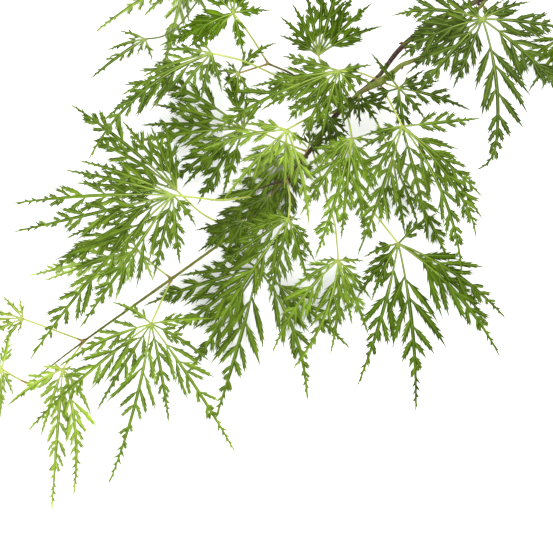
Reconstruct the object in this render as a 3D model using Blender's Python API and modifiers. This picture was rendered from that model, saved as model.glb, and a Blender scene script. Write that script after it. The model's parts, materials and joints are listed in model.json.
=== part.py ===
"""A branch cut from a green cut-leaf maple, lying on the floor with its cut end to the right.

A thin woody stem runs from the cut at the upper right down to its tip at the lower left.
It carries a green shoot, two side twigs, two dead spurs and 27 leaves. Each leaf is a stalk
that ends in a hub, from which narrow lobes spread like fingers. Every lobe is cut to its rib,
and its side pieces point forward. The leaves lie over and under each other in levels, so
none touches another, and the free tips droop to the floor.

Plan measures are millimetres and degrees: X to the right, Y up the sheet, headings counted
anticlockwise from X. Heights are worked out from the levels.
"""

import math
from collections import namedtuple

import bmesh
import bpy
import numpy as np
from mathutils import Vector
from mathutils.geometry import delaunay_2d_cdt, intersect_line_line_2d

MM = 0.001

# The levels in which the leaves lie over and under the stem
STEM_LEVEL = 3.0
LEVEL_GAP = 7.5        # mm between two levels beside the stem
LEVEL_EDGE = 0.5       # share of that gap far from the stem
LEVEL_REACH = 80.0     # mm from the stem over which the gap closes
GROUND_LEVEL = 0.7     # the level that would lie on the floor
CUT_HEIGHT = 1.7       # mm from the floor to the middle of the cut end
CUT_RISE = 62.0        # mm from the cut to where the stem is at its full height

# The leaves
BLADE_THICKNESS = 1.4
RIB_HALF_WIDTH = 0.9
END_HALF_WIDTH = 1.4   # where the last side pieces leave the rib
SIDE_ANGLE = 28.0      # degrees between a side piece and its rib
SIDE_LENGTH = 0.55     # of the lobe's length, at the hub end
SIDE_FALL = 1.1        # how fast the side pieces shorten towards the tip
SIDE_BASE = 7.5        # mm along the rib
SIDE_BASE_SHARE = 0.12  # of the lobe's length, on a short lobe
SIDE_ROOM = 0.7        # of the way to the next lobe's rib that a side piece may take
SHORTEST_SIDE = 4.0
LONG_SIDE = 13.0       # a side piece this long bulges away from its rib
SHOULDER = 1.3         # by this
SHOULDER_PLACE = 0.4   # so far along it
MEDIUM_LOBE = 48.0     # a lobe this long has two pairs of side pieces
LONG_LOBE = 80.0       # and this long, three
LOBE_SPREAD = 18.0     # degrees either side of a heading that its lobe takes up
LEAF_CUP = 0.15        # levels by which a hub stands over its lobes' ends
DROOP_START = 0.35     # where along a lobe the droop begins
HUB_RADIUS = 2.2
HUB_SIDES = 8
STRAIGHT = 2.0         # degrees of bend below which an outline's corner is left out
LEAF_ROUGHNESS = 0.45
SHARPEST_SMOOTH = 40.0  # degrees between two faces that are still shaded as one
STALK_ROOT = 0.9       # radius
STALK_END = 0.7        # radius
LIMB_RISE = 0.8        # share of a stalk or twig in which it reaches its own level
CLEARANCE = 0.3        # mm between a stalk and its stem
LINE_STEP = 0.25       # mm between two points of a limb before it is thinned
STEM_STEPS = 2         # from each of a stem's points to the next
STALK_STEPS = 6        # in all
BLADE_CLEARANCE = 0.9  # mm between a blade and a stem or another leaf's stalk

# The middle of the whole branch on the sheet, which becomes the origin
CENTRE = (-0.38, -1.058)

SIDE_PLACES = {1: (0.3,), 2: (0.18, 0.48), 3: (0.15, 0.36, 0.58)}

Stem = namedtuple("Stem", "parent level points radii colour roughness")
Leaf = namedtuple("Leaf", "level tone droop stem hub stalk lobes")

BARK = (0.10, 0.045, 0.035)
BARK_GREEN = (0.16, 0.20, 0.05)
BARK_DEAD = (0.07, 0.035, 0.03)

# A stem runs through its points, as thick as its radii say
STEMS = {
    "main_stem": Stem(
        None, STEM_LEVEL,
        [(171, 166), (141, 149), (107, 133), (81, 119), (67, 108), (50, 87), (31, 71), (10, 43),
         (-17, 13), (-30, -1), (-71, -31), (-123, -68), (-157, -94)],
        [1.7, 1.9, 1.6, 1.4, 1.6, 1.3, 1.5, 1.0, 0.85, 0.85, 1.0, 0.75, 0.35], BARK, 0.75),
    "green_shoot": Stem(
        "main_stem", 3.8,
        [(119, 138), (108, 125), (99, 115), (81, 103), (67, 97), (62, 93), (54, 87), (43, 81),
         (37, 77)],
        [1.1, 1.1, 1.05, 1.2, 1.5, 1.6, 2.1, 1.2, 0.7], BARK_GREEN, 0.5),
    "side_twig": Stem(
        "main_stem", 3.0, [(31, 71), (18, 81), (6, 88), (1, 92), (-13, 98)],
        [0.8, 0.75, 0.7, 0.7, 0.6], BARK, 0.7),
    "arching_twig": Stem(
        "main_stem", 2.6, [(141, 149), (108, 161), (66, 167), (24, 169), (-12, 167), (-39, 161)],
        [1.2, 1.1, 1.0, 0.9, 0.8, 0.6], BARK, 0.7),
    "dead_twig": Stem(
        "main_stem", 3.3, [(-3, 28), (-10, 26), (-18, 23)], [0.6, 0.55, 0.35], BARK_DEAD, 0.8),
    "dead_spur": Stem(
        "main_stem", 3.3, [(1, 32.6), (5, 29), (9, 27)], [0.5, 0.45, 0.35], BARK_DEAD, 0.8),
}

TONES = {
    "pale": (0.22, 0.40, 0.10),
    "bright": (0.13, 0.31, 0.035),
    "mid": (0.07, 0.20, 0.03),
    "dark": (0.03, 0.11, 0.015),
}

# A leaf's level, tone, droop (1 lets its tips down to the floor), stem, hub, the points of its
# stalk from the stem to the hub, and its lobes as (heading, length, turn[, curl at the tip])
LEAVES = {
    "leaf_01": Leaf(
        6, "mid", 0.2, "green_shoot", (115, 124), [(116, 133), (118, 128)],
        [(41, 18, -40), (20, 32, -25), (-7, 55, -15), (-42, 65, -15), (-93, 90, -32, -70),
         (-131, 61, 8), (-154, 57, 35), (178, 55, 38), (134, 22, -15)]),
    "leaf_02": Leaf(
        7, "pale", 0.0, "green_shoot", (29, 93), [(53, 88), (42, 92)],
        [(10, 21, -10), (-54, 21, -12), (-104, 40, 10), (-135, 44, 15), (-153, 53, 15),
         (-153, 90, 25), (-170, 54, 5), (165, 36, 5)]),
    "leaf_03": Leaf(
        4, "mid", 0.0, "side_twig", (17, 103), [(25, 76), (22, 88)],
        [(24, 43, -25), (44, 46, -10), (73, 54, -6), (86, 51, 0), (101, 42, 4), (117, 36, 9),
         (153, 27, 18)]),
    "leaf_04": Leaf(
        7, "bright", 0.0, "side_twig", (-34, 128), [(-13, 98), (-24, 115)],
        [(3, 23, -20), (48, 26, -13), (83, 36, -2), (108, 40, 6), (139, 36, 15),
         (-151, 40, 20), (-133, 29, 10), (-77, 27, -10)]),
    "leaf_05": Leaf(
        6, "pale", 0.1, "side_twig", (-47, 104), [(5, 88), (-4, 89), (-27, 99)],
        [(-82, 13, -3), (-129, 35, 10), (-155, 61, 12), (-139, 98, 45), (-161, 45, 20),
         (176, 31, 20), (135, 21, 14)]),
    "leaf_06": Leaf(
        3, "dark", 0.0, "main_stem", (-28, 59), [(11, 45), (-2, 50), (-16, 56)],
        [(52, 21, -20), (84, 22, 0), (106, 39, 8), (151, 65, 22), (165, 57, 15),
         (-173, 66, 12), (-152, 45, 15), (-136, 51, 10), (-107, 43, 5)]),
    "leaf_07": Leaf(
        7, "mid", 0.3, "main_stem", (-70, 19), [(-14, 16), (-22, 18), (-40, 16), (-53, 17)],
        [(-54, 24, -20), (-84, 43, 5), (-125, 98, 0), (-131, 131, 15), (-167, 99, 0),
         (-177, 98, 10), (167, 67, 8), (160, 61, 15)]),
    "leaf_08": Leaf(
        6, "bright", 0.0, "main_stem", (-2, 58), [(26, 65), (12, 65)],
        [(-41, 17, -15), (-77, 59, -20), (-92, 35, 1), (-122, 37, 10), (-132, 57, 10),
         (-167, 51, 20), (173, 28, 20)]),
    "leaf_09": Leaf(
        1, "dark", 0.6, "main_stem", (-2, 44), [(9, 42), (4, 45)],
        [(-73, 29, -6), (-107, 51, 6), (-130, 77, 5), (-142, 35, 10), (-169, 24, 20)]),
    "leaf_10": Leaf(
        7, "bright", 0.3, "green_shoot", (67, 60), [(54, 85), (59, 76)],
        [(6, 48, 0), (-41, 65, -8), (-57, 81, -28, -25), (-68, 97, -35), (-109, 82, -5),
         (-119, 50, 5), (-166, 25, 12)]),
    "leaf_11": Leaf(
        5, "bright", 0.0, "main_stem", (37, 53), [(31, 71), (35, 64)],
        [(-7, 15, -10), (-69, 33, -7), (-96, 62, 0), (-107, 75, -8), (-112, 36, 7),
         (-138, 29, 15), (-158, 19, 19)]),
    "leaf_12": Leaf(
        4, "mid", 1.0, "main_stem", (65, -10), [(16, 52), (33, 31), (46, 14)],
        [(38, 30, -20), (-35, 80, -28), (-48, 92, -30), (-84, 102, -14), (-106, 90, -12),
         (-115, 38, 18), (-158, 23, 25)]),
    "leaf_13": Leaf(
        3, "mid", 0.2, "main_stem", (29, -20), [(13, 48), (19, 28), (23, 13), (27, 1)],
        [(-2, 16, -15), (-50, 31, -13), (-68, 49, -7), (-78, 41, -4), (-113, 72, -35),
         (-125, 70, 30), (-148, 36, 15), (180, 13, 5)]),
    "leaf_14": Leaf(
        6, "bright", 0.0, "main_stem", (-83, -58), [(-71, -31)],
        [(5, 37, -15), (-57, 93, -8), (-105, 101, -14), (-139, 99, 12), (-155, 62, 22),
         (151, 27, 32)]),
    "leaf_15": Leaf(
        5, "pale", 1.0, "main_stem", (-136, -85), [(-123, -68), (-130, -77)],
        [(-3, 10, -20), (-59, 33, -25), (-86, 78, -28), (-95, 87, 0), (-108, 44, 5),
         (-146, 41, 20), (175, 14, 20)]),
    "leaf_16": Leaf(
        4, "pale", 0.2, "main_stem", (-160, -55), [(-125, -68), (-141, -62)],
        [(-108, 17, 6), (-125, 34, 11), (-149, 37, 17), (-173, 36, 20), (171, 26, 20),
         (133, 20, 14), (100, 14, 3)]),
    "leaf_17": Leaf(
        3, "pale", 1.0, "main_stem", (-173, -85), [(-157, -94), (-165, -90)],
        [(79, 25, 10), (121, 16, 10), (-173, 19, 20), (-141, 31, 16), (-111, 40, 7),
         (-92, 31, 0), (-66, 18, -8)]),
    "leaf_18": Leaf(
        4, "bright", 0.0, "main_stem", (-1, 5), [(-2, 29), (0, 16)],
        [(-4, 8, -15), (-58, 30, -10), (-73, 39, -5), (-102, 27, 4), (-123, 93, 5),
         (-163, 26, 15), (172, 18, 20)]),
    "leaf_19": Leaf(
        2, "dark", 1.0, "main_stem", (-19, -25), [(-27, 2), (-21, -11)],
        [(-41, 74, -8), (-70, 86, -38), (-106, 96, -5), (-142, 70, 5), (-162, 73, 12),
         (-175, 48, 10)]),
    "leaf_20": Leaf(
        3, "mid", 1.0, "main_stem", (171, 118), [(155, 157), (167, 136)],
        [(39, 19, -16), (-19, 27, -20), (-58, 42, -10), (-90, 49, 0), (-119, 42, 10),
         (-127, 47, 10), (-145, 53, 15)]),
    "leaf_21": Leaf(
        1, "mid", 0.8, "arching_twig", (-63, 151), [(-39, 161)],
        [(-43, 31, -15), (-60, 29, -10), (-86, 28, 0), (-104, 63, -5), (-136, 36, 5),
         (-148, 65, 15), (-167, 40, 20), (157, 23, 18)]),
    "leaf_22": Leaf(
        2, "pale", 0.3, "arching_twig", (-87, 113), [(-35, 163), (-51, 142), (-69, 119),
                                                     (-80, 114)],
        [(-72, 14, -6), (-117, 11, 9), (-146, 24, 10), (-144, 42, 12), (-163, 25, 19),
         (163, 17, 19)]),
    "leaf_23": Leaf(
        4, "dark", 0.7, "main_stem", (-91, -14), [(-71, -31), (-79, -25), (-86, -19)],
        [(-64, 21, -15), (-114, 34, 20), (-147, 55, 5), (-162, 61, 8), (-167, 70, 0),
         (170, 35, 20), (129, 27, 13)]),
    "leaf_24": Leaf(
        5, "dark", 0.2, "main_stem", (-68, 22), [(-30, -1), (-43, 3), (-54, 9)],
        [(91, 24, 0), (112, 42, 5), (128, 54, 5), (141, 83, 12), (149, 60, 18),
         (166, 48, 15)]),
    "leaf_25": Leaf(
        4.6, "pale", 0.0, "side_twig", (-31, 92), [(-13, 98)],
        [(38, 30, -50), (-61, 15, -10), (-94, 16, 0), (-137, 13, 15), (173, 14, 20),
         (135, 11, 14)]),
    "leaf_26": Leaf(
        2, "dark", 0.8, "main_stem", (62, 40), [(42, 80), (54, 59)],
        [(-23, 31, -18), (-61, 71, -10), (-69, 42, -8), (-81, 46, 0), (-103, 40, 0)]),
    "leaf_27": Leaf(
        5, "dark", 0.2, "green_shoot", (65, 83), [(55, 87)],
        [(35, 20, -10), (-17, 46, -18), (-50, 26, -15), (-83, 35, 0), (-93, 20, 0),
         (128, 27, 0)]),
}


# Heights

def plan_distance(line, x, y):
    """The shortest way on the sheet from a point to a line of points."""
    best = math.inf
    for (ax, ay), (bx, by) in zip(line, line[1:]):
        along = ((x - ax) * (bx - ax) + (y - ay) * (by - ay)) / ((bx - ax) ** 2 + (by - ay) ** 2)
        along = min(max(along, 0.0), 1.0)
        best = min(best, math.hypot(x - ax - along * (bx - ax), y - ay - along * (by - ay)))
    return best


def smooth_step(share):
    share = min(max(share, 0.0), 1.0)
    return share * share * (3.0 - 2.0 * share)


def height(level, x, y):
    """How high a level lies over the floor: fullest along the stem, low at the cut end."""
    stem = STEMS["main_stem"].points
    spread = math.exp(-((plan_distance(stem, x, y) / LEVEL_REACH) ** 2))
    gap = LEVEL_GAP * (LEVEL_EDGE + (1.0 - LEVEL_EDGE) * spread)
    at_cut = CUT_HEIGHT / (LEVEL_GAP * (STEM_LEVEL - GROUND_LEVEL))
    rise = smooth_step(math.hypot(x - stem[0][0], y - stem[0][1]) / CUT_RISE)
    return gap * (level - GROUND_LEVEL) * (at_cut + (1.0 - at_cut) * rise)


# Lines

def smooth_line(points):
    """A Catmull-Rom curve through points with a radius each, in short steps."""
    rows = [Vector(point) for point in points]
    ends = [2 * rows[0] - rows[1]] + rows + [2 * rows[-1] - rows[-2]]
    line = []
    for a, b, c, d in zip(ends, ends[1:], ends[2:], ends[3:]):
        steps = math.ceil((c - b).length / LINE_STEP)
        for step in range(steps):
            u = step / steps
            line.append(0.5 * (2 * b + (c - a) * u + (2 * a - 5 * b + 4 * c - d) * u ** 2
                               + (3 * b - a - 3 * c + d) * u ** 3))
    line.append(rows[-1])
    return line


def start_clear(line, parent):
    """The line from where it is just clear of the stem that carries it, at side or end."""
    axis = [Vector(point[:2]) for point in parent]
    end_way = (axis[-1] - axis[-2]).normalized()
    near = min(range(len(axis)), key=lambda i: (axis[i] - line[0].xy).length)
    way = (axis[min(near + 1, len(axis) - 1)] - axis[max(near - 1, 0)]).normalized()
    thick = max(point[3] for point in parent[max(near - 1, 0):near + 2])
    for number, (point, ahead) in enumerate(zip(line, line[1:])):
        heading = (ahead.xy - point.xy).normalized()
        aside = plan_distance(axis, *point.xy) - thick - point.z * abs(heading.dot(way))
        past = (point.xy - axis[-1]).dot(end_way) - point.z * abs(heading.cross(end_way))
        if max(aside, past) >= CLEARANCE:
            return line[number:]
    return line


def limb_line(points, radii, parent, level, steps):
    """A limb that leaves its parent's level for its own, as rows of x, y, z and radius."""
    line = smooth_line([(*point, radius) for point, radius in zip(points, radii)])
    start = level
    if parent:
        x, y, z, _ = min(parent, key=lambda row: math.dist(row[:2], line[0].xy))
        start = GROUND_LEVEL + z / height(GROUND_LEVEL + 1.0, x, y)
        line = start_clear(line, parent)
    rows = []
    for number in range(steps + 1):
        x, y, radius = line[round(number / steps * (len(line) - 1))]
        at = start + (level - start) * smooth_step(number / steps / LIMB_RISE)
        rows.append((x, y, height(at, x, y), radius))
    return rows


def stem_lines():
    lines = {}
    for name, stem in STEMS.items():
        steps = STEM_STEPS * (len(stem.points) - 1)
        lines[name] = limb_line(stem.points, stem.radii, lines.get(stem.parent), stem.level, steps)
    return lines


def stalk_line(leaf, stems):
    points = leaf.stalk + [leaf.hub]
    radii = np.linspace(STALK_ROOT, STALK_END, len(points))
    return limb_line(points, radii, stems[leaf.stem], leaf.level, STALK_STEPS)


def lobe_path(hub, heading, length, turn, curl=0.0, steps=24):
    """A lobe's rib: places and headings from the hub to the tip, as it bends and curls."""
    bends = []
    for number in range(steps + 1):
        share = number / steps
        tip = max(share - 0.75, 0.0) / 0.25
        bends.append(math.radians(heading + turn * (share - 0.5) + curl * tip ** 1.5))
    places = [0j]
    for a, b in zip(bends, bends[1:]):
        places.append(places[-1] + complex(math.cos((a + b) / 2), math.sin((a + b) / 2)))
    chord = complex(math.cos(math.radians(heading)), math.sin(math.radians(heading))) * length
    fit = chord / places[-1]
    swing = math.atan2(fit.imag, fit.real)
    ends = [(hub[0] + (place * fit).real, hub[1] + (place * fit).imag) for place in places]
    return ends, [bend + swing for bend in bends]


def path_at(path, share):
    """The place and the heading at a share of a lobe's length."""
    ends, bends = path
    at = min(max(share, 0.0), 1.0) * (len(ends) - 1)
    low = min(int(at), len(ends) - 2)
    part = at - low
    x = ends[low][0] + (ends[low + 1][0] - ends[low][0]) * part
    y = ends[low][1] + (ends[low + 1][1] - ends[low][1]) * part
    return x, y, bends[low] + (bends[low + 1] - bends[low]) * part


# Clearance

def capsules(lines):
    """Stretches of stem or stalk as arrays of both ends and the radius."""
    starts, ends, radii = [], [], []
    for line in lines:
        for a, b in zip(line, line[1:]):
            starts.append(a[:3])
            ends.append(b[:3])
            radii.append(max(a[3], b[3]))
    return np.array(starts), np.array(ends), np.array(radii)


def is_clear(points, limbs):
    """Whether each point of a blade keeps its distance from every limb."""
    starts, ends, radii = limbs
    spans = ends - starts
    squares = (spans ** 2).sum(axis=1)
    for point in points:
        along = np.clip(((np.array(point) - starts) * spans).sum(axis=1) / squares, 0.0, 1.0)
        gaps = np.linalg.norm(starts + spans * along[:, None] - np.array(point), axis=1) - radii
        if gaps.min() < BLADE_THICKNESS / 2 + BLADE_CLEARANCE:
            return False
    return True


# Solids

def material(name, colour, roughness):
    finish = bpy.data.materials.new(name)
    finish.use_nodes = True
    shader = finish.node_tree.nodes["Principled BSDF"]
    shader.inputs["Base Color"].default_value = (*colour, 1.0)
    shader.inputs["Roughness"].default_value = roughness
    shader.inputs["Metallic"].default_value = 0.0
    return finish


def place(x, y, z):
    return Vector(((x - CENTRE[0]) * MM, (y - CENTRE[1]) * MM, z * MM))


def tube(name, line, resolution, collection):
    """A round limb with closed ends, as a curve object."""
    curve = bpy.data.curves.new(name, "CURVE")
    curve.dimensions = "3D"
    curve.bevel_depth = MM
    curve.bevel_resolution = resolution
    curve.use_fill_caps = True
    spline = curve.splines.new("POLY")
    spline.points.add(len(line) - 1)
    for point, (x, y, z, radius) in zip(spline.points, line):
        point.co = (*place(x, y, z), 1.0)
        point.radius = radius
    limb = bpy.data.objects.new(name, curve)
    collection.objects.link(limb)
    return limb


def as_mesh(limb, collection):
    """The same limb as a welded mesh, in place of the curve."""
    name = limb.name
    bpy.context.view_layer.update()
    seen = limb.evaluated_get(bpy.context.evaluated_depsgraph_get())
    mesh = bpy.data.meshes.new_from_object(seen)
    weld = bmesh.new()
    weld.from_mesh(mesh)
    bmesh.ops.remove_doubles(weld, verts=weld.verts, dist=0.00001)
    weld.to_mesh(mesh)
    weld.free()
    bpy.data.objects.remove(limb)
    solid = bpy.data.objects.new(name, mesh)
    collection.objects.link(solid)
    return solid


def room_ahead(near, far, ribs):
    """The share of the way from near to far at which it first meets another lobe's rib."""
    room = 1.0
    for rib in ribs:
        for a, b in zip(rib, rib[1:]):
            meet = intersect_line_line_2d(near, far, a, b)
            if meet:
                room = min(room, (meet - near).length / (far - near).length)
    return room


def lobe_pieces(leaf, number, paths, limbs):
    """One lobe on the sheet: a strip along its rib, with side pieces that point forward."""
    length = leaf.lobes[number][1]
    path = paths[number]
    ribs = [other[0] for other in paths if other is not path]
    places = SIDE_PLACES[1 if length < MEDIUM_LOBE else 2 if length < LONG_LOBE else 3]
    base = min(SIDE_BASE, SIDE_BASE_SHARE * length) / length
    shares = [0.0] + [share for start in places for share in (start, start + base)]
    edges = []
    for share in shares:
        x, y, bend = path_at(path, share)
        half = END_HALF_WIDTH if share == shares[-1] else RIB_HALF_WIDTH
        across = Vector((-math.sin(bend), math.cos(bend))) * half
        edges.append((Vector((x, y)) - across, Vector((x, y)) + across))
    pieces = [(right, next_right, next_left, left)
              for (right, left), (next_right, next_left) in zip(edges, edges[1:])]
    pieces.append((edges[-1][0], Vector(path_at(path, 1.0)[:2]), edges[-1][1]))

    for row, share in enumerate(places):
        x, y, bend = path_at(path, share)
        reach = SIDE_LENGTH * length * (1.0 - share) ** SIDE_FALL
        for side, hand in ((0, -1.0), (1, 1.0)):
            lean = bend + hand * math.radians(SIDE_ANGLE)
            near = edges[2 * row + 1][side]
            far = Vector((x + math.cos(lean) * reach, y + math.sin(lean) * reach))
            room = room_ahead(near, far, ribs)
            if room < 1.0:
                far = near.lerp(far, room * SIDE_ROOM)
            way = [near.lerp(far, part) for part in (0.4, 0.7, 1.0)]
            short = (far - near).length < SHORTEST_SIDE
            if short or not is_clear([(*at, leaf_height(leaf, *at)) for at in way], limbs):
                continue
            piece = [far, edges[2 * row + 2][side], near]
            if (far - near).length > LONG_SIDE:
                out = (far - near).normalized().orthogonal() * hand
                piece.append(near.lerp(far, SHOULDER_PLACE) + out * SHOULDER)
            pieces.append(piece[::-int(hand)])
    return pieces


def leaf_height(leaf, x, y):
    """How high a leaf lies: its level, a little cupped, with its ends let down by its droop."""
    out = math.hypot(x - leaf.hub[0], y - leaf.hub[1])
    toward = math.degrees(math.atan2(y - leaf.hub[1], x - leaf.hub[0]))
    total = reach = 0.0
    for heading, length, *_ in leaf.lobes:
        apart = (toward - heading + 180.0) % 360.0 - 180.0
        weight = math.exp(-((apart / LOBE_SPREAD) ** 2)) + 0.001
        total += weight
        reach += weight * length
    top = height(leaf.level + LEAF_CUP * (0.5 - out * total / reach), x, y)
    longest = max(lobe[1] for lobe in leaf.lobes)
    fall = leaf.droop * smooth_step((out / longest - DROOP_START) / (1.0 - DROOP_START))
    return top * (1.0 - fall) + BLADE_THICKNESS / 2 * fall


def leaf_blade(leaf, limbs, collection):
    """All the lobes and the hub as one sheet, cut to the ribs between the side pieces."""
    turns = [2.0 * math.pi * side / HUB_SIDES for side in range(HUB_SIDES)]
    middle = Vector(leaf.hub)
    pieces = [[middle + Vector((math.cos(a), math.sin(a))) * HUB_RADIUS for a in turns]]
    paths = [lobe_path(leaf.hub, *lobe) for lobe in leaf.lobes]
    for number in range(len(paths)):
        pieces += lobe_pieces(leaf, number, paths, limbs)
    corners = [corner for piece in pieces for corner in piece]
    count = iter(range(len(corners)))
    rings = [[next(count) for _ in piece] for piece in pieces]
    merged = delaunay_2d_cdt(corners, [], rings, 1, 0.001)
    spots, faces, origins = merged[0], merged[2], merged[5]
    inside = [face for face, origin in zip(faces, origins) if origin]

    sheet = bmesh.new()
    verts = [sheet.verts.new((x, y, 0.0)) for x, y in spots]
    for face in inside:
        sheet.faces.new([verts[corner] for corner in face])
    bmesh.ops.delete(sheet, geom=[v for v in sheet.verts if not v.link_faces], context="VERTS")
    bmesh.ops.dissolve_limit(sheet, angle_limit=math.radians(STRAIGHT), verts=sheet.verts,
                             edges=sheet.edges)
    bmesh.ops.triangulate(sheet, faces=sheet.faces)
    for vert in sheet.verts:
        x, y = vert.co.xy
        vert.co = place(x, y, leaf_height(leaf, x, y))
    mesh = bpy.data.meshes.new("blade")
    sheet.to_mesh(mesh)
    sheet.free()
    blade = bpy.data.objects.new("blade", mesh)
    collection.objects.link(blade)
    wall = blade.modifiers.new("thickness", "SOLIDIFY")
    wall.thickness = BLADE_THICKNESS * MM
    wall.offset = 0.0
    return blade


def leaf_solid(name, leaf, stalks, stems, branch):
    """A whole leaf: its blade and its stalk joined into one solid."""
    others = [line for other, line in stalks.items() if other != name]
    limbs = capsules(list(stems.values()) + others)
    stalk = as_mesh(tube("stalk", stalks[name], 0, branch), branch)
    blade = leaf_blade(leaf, limbs, branch)
    blade.name = name
    join = blade.modifiers.new("join", "BOOLEAN")
    join.operation = "UNION"
    join.object = stalk
    join.solver = "EXACT"
    bpy.context.view_layer.update()
    seen = blade.evaluated_get(bpy.context.evaluated_depsgraph_get())
    joined = bpy.data.meshes.new_from_object(seen)
    blade.modifiers.clear()
    blade.data = joined
    blade.data.shade_smooth()
    blade.data.set_sharp_from_angle(angle=math.radians(SHARPEST_SMOOTH))
    blade.data.materials.clear()
    blade.data.materials.append(material(name, TONES[leaf.tone], LEAF_ROUGHNESS))
    bpy.data.objects.remove(stalk)


def main():
    for thing in list(bpy.data.objects):
        bpy.data.objects.remove(thing)
    branch = bpy.data.collections.new("cut_leaf_maple_branch")
    bpy.context.scene.collection.children.link(branch)

    stems = stem_lines()
    for name, line in stems.items():
        limb = tube(name, line, 2, branch)
        limb.data.materials.append(material(name, STEMS[name].colour, STEMS[name].roughness))

    stalks = {name: stalk_line(leaf, stems) for name, leaf in LEAVES.items()}
    for name, leaf in LEAVES.items():
        leaf_solid(name, leaf, stalks, stems, branch)


main()
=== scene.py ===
"""A branch cut from a green cut-leaf maple, lying on a pale floor under soft studio light.

The woody stem, the green shoot and the twigs get their bark, swollen nodes and buds. Each leaf
gets its finely cut lobes: a rib from the hub to the tip, side segments in pairs that point
forward, and teeth along every margin. Everything grows by the rule of the solids beneath, on
the same hubs and heights, and carries it to finer detail.

Plan measures are millimetres and degrees: X to the right, Y up the sheet, headings counted
anticlockwise from X.
"""

import json
import math
import random
from collections import namedtuple

import bpy
import numpy as np
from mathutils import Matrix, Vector
from mathutils.geometry import intersect_line_line_2d

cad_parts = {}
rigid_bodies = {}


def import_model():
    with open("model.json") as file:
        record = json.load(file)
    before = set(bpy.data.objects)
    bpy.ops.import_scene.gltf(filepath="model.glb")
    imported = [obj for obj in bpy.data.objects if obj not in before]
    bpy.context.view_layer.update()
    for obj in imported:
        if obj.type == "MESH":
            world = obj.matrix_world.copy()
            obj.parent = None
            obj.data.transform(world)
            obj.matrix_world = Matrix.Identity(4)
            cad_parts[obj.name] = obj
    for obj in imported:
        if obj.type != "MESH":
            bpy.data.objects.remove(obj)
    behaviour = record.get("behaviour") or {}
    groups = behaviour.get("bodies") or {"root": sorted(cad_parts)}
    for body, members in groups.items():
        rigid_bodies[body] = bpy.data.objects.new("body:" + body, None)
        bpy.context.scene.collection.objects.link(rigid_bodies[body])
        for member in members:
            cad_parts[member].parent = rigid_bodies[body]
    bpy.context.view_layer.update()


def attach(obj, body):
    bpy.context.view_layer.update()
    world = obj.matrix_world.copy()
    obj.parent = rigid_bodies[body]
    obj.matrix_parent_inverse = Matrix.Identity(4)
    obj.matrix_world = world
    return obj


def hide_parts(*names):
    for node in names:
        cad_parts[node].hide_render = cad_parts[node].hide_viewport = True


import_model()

MM = 0.001
SEED = 11
CENTRE = (-0.38, -1.058)   # the place on the sheet that lies over the frame's origin

# The levels in which the leaves lie over and under the stem
STEM_LEVEL = 3.0
LEVEL_GAP = 7.5        # mm between two levels beside the stem
LEVEL_EDGE = 0.5       # share of that gap far from the stem
LEVEL_REACH = 80.0     # mm from the stem over which the gap closes
GROUND_LEVEL = 0.7     # the level that would lie on the floor
CUT_HEIGHT = 1.7       # mm from the floor to the middle of the cut end
CUT_RISE = 62.0        # mm from the cut to where the stem is at its full height

# How a leaf lies
LOBE_SPREAD = 18.0     # degrees either side of a heading that its lobe takes up
FARTHEST_LOBE = 0.001  # the weight that a lobe has however far its heading is
LEAF_CUP = 0.15        # levels by which a hub stands over its lobes' ends
DROOP_START = 0.35     # where along a lobe the droop begins
FLOOR_REST = 0.7       # mm over the floor at which a drooping tip comes to rest
FLOOR_SOFT = 1.1       # mm under which a blade is eased off the floor
FLOOR_CLEAR = 0.15     # mm that every blade keeps over the floor

# How a limb leaves its parent
LIMB_RISE = 0.8        # share of its length over which it changes level
CLEARANCE = 0.3        # mm from its parent's skin to where it counts as clear
LINE_STEP = 0.25       # mm between two points of a smooth curve
STEM_STEPS = 2         # rows of a stem for each of its points
STALK_STEPS = 6
FINE_STEP = 0.9        # mm between two rings of a limb's bark
STALK_RING_STEP = 1.6  # mm between two rings of a leaf stalk
STALK_ROOT = 0.9       # mm, the radius that a leaf stalk is kept clear of its parent with
STALK_END = 0.7

# A lobe's rib
RIB_STEPS = 24
CURL_FROM = 0.75       # share of a lobe from which its tip curls
CURL_POWER = 1.5
RIB_HALF, RIB_FINE = 0.42, 0.10   # mm, half its width at the hub and at the tip
RIB_TAPER = 2.2
RIB_RISE = 0.13        # mm
RIB_LOW = 0.6          # share of its rise that it loses towards the tip
BRIGHT_RIB = 0.32      # share of a lobe up to which its rib keeps the hub's colour
SIDE_RIB_HALF, SIDE_RIB_THIN = 0.19, 0.6
SIDE_RIB_RISE, SIDE_RIB_LOW = 0.06, 0.5

# A lobe's pairs of side segments
SIDE_ANGLE = 31.0      # degrees between a side segment and its rib
ANGLE_SPREAD = (-6.0, 7.0)
SIDE_LENGTH = 0.43     # of the lobe's length, for the longest pair
LENGTH_SPREAD = (0.7, 1.15)
SIDE_PEAK = 0.2        # share of the lobe at which that pair leaves
FIRST_SHORT = 0.78     # of that rule, for the first pair
FIRST_OVER = 0.03      # share of the lobe within which a pair is the first
FALL_SPREAD = 0.3      # by which a lobe's fall may differ
SIDE_BOW = 11.0        # degrees by which a segment bends forward
BOW_SPREAD = (0.4, 1.6)
SIDE_ROOM = 0.84       # of the way to the next lobe's rib that a segment may take
SIDE_CLEARANCE = 0.55  # mm between a segment and a limb
TRIALS = 6             # places along a segment at which its room is tried
SHORT_OF = 0.4         # of the way between two such places that a blocked one still takes
PAIR_SPREAD = (-0.028, 0.028)  # share of the lobe by which a segment leaves its pair
PAIR_GAP = (3.6, 0.078)   # mm between two pairs near the hub, and more by the lobe's length
TAIL_GAP = (1.9, 0.028)   # and near the tip
SPREAD_END, SPREAD_FADE = 0.36, 0.46   # share at which the pairs begin to crowd, and over which
LAST_PAIR = 0.95
SHORTEST_SEGMENT = 5.0    # mm; anything less is a tooth on the rib's wing
LEAST_SEGMENT = 4.0       # and once cut short by its neighbours
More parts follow.
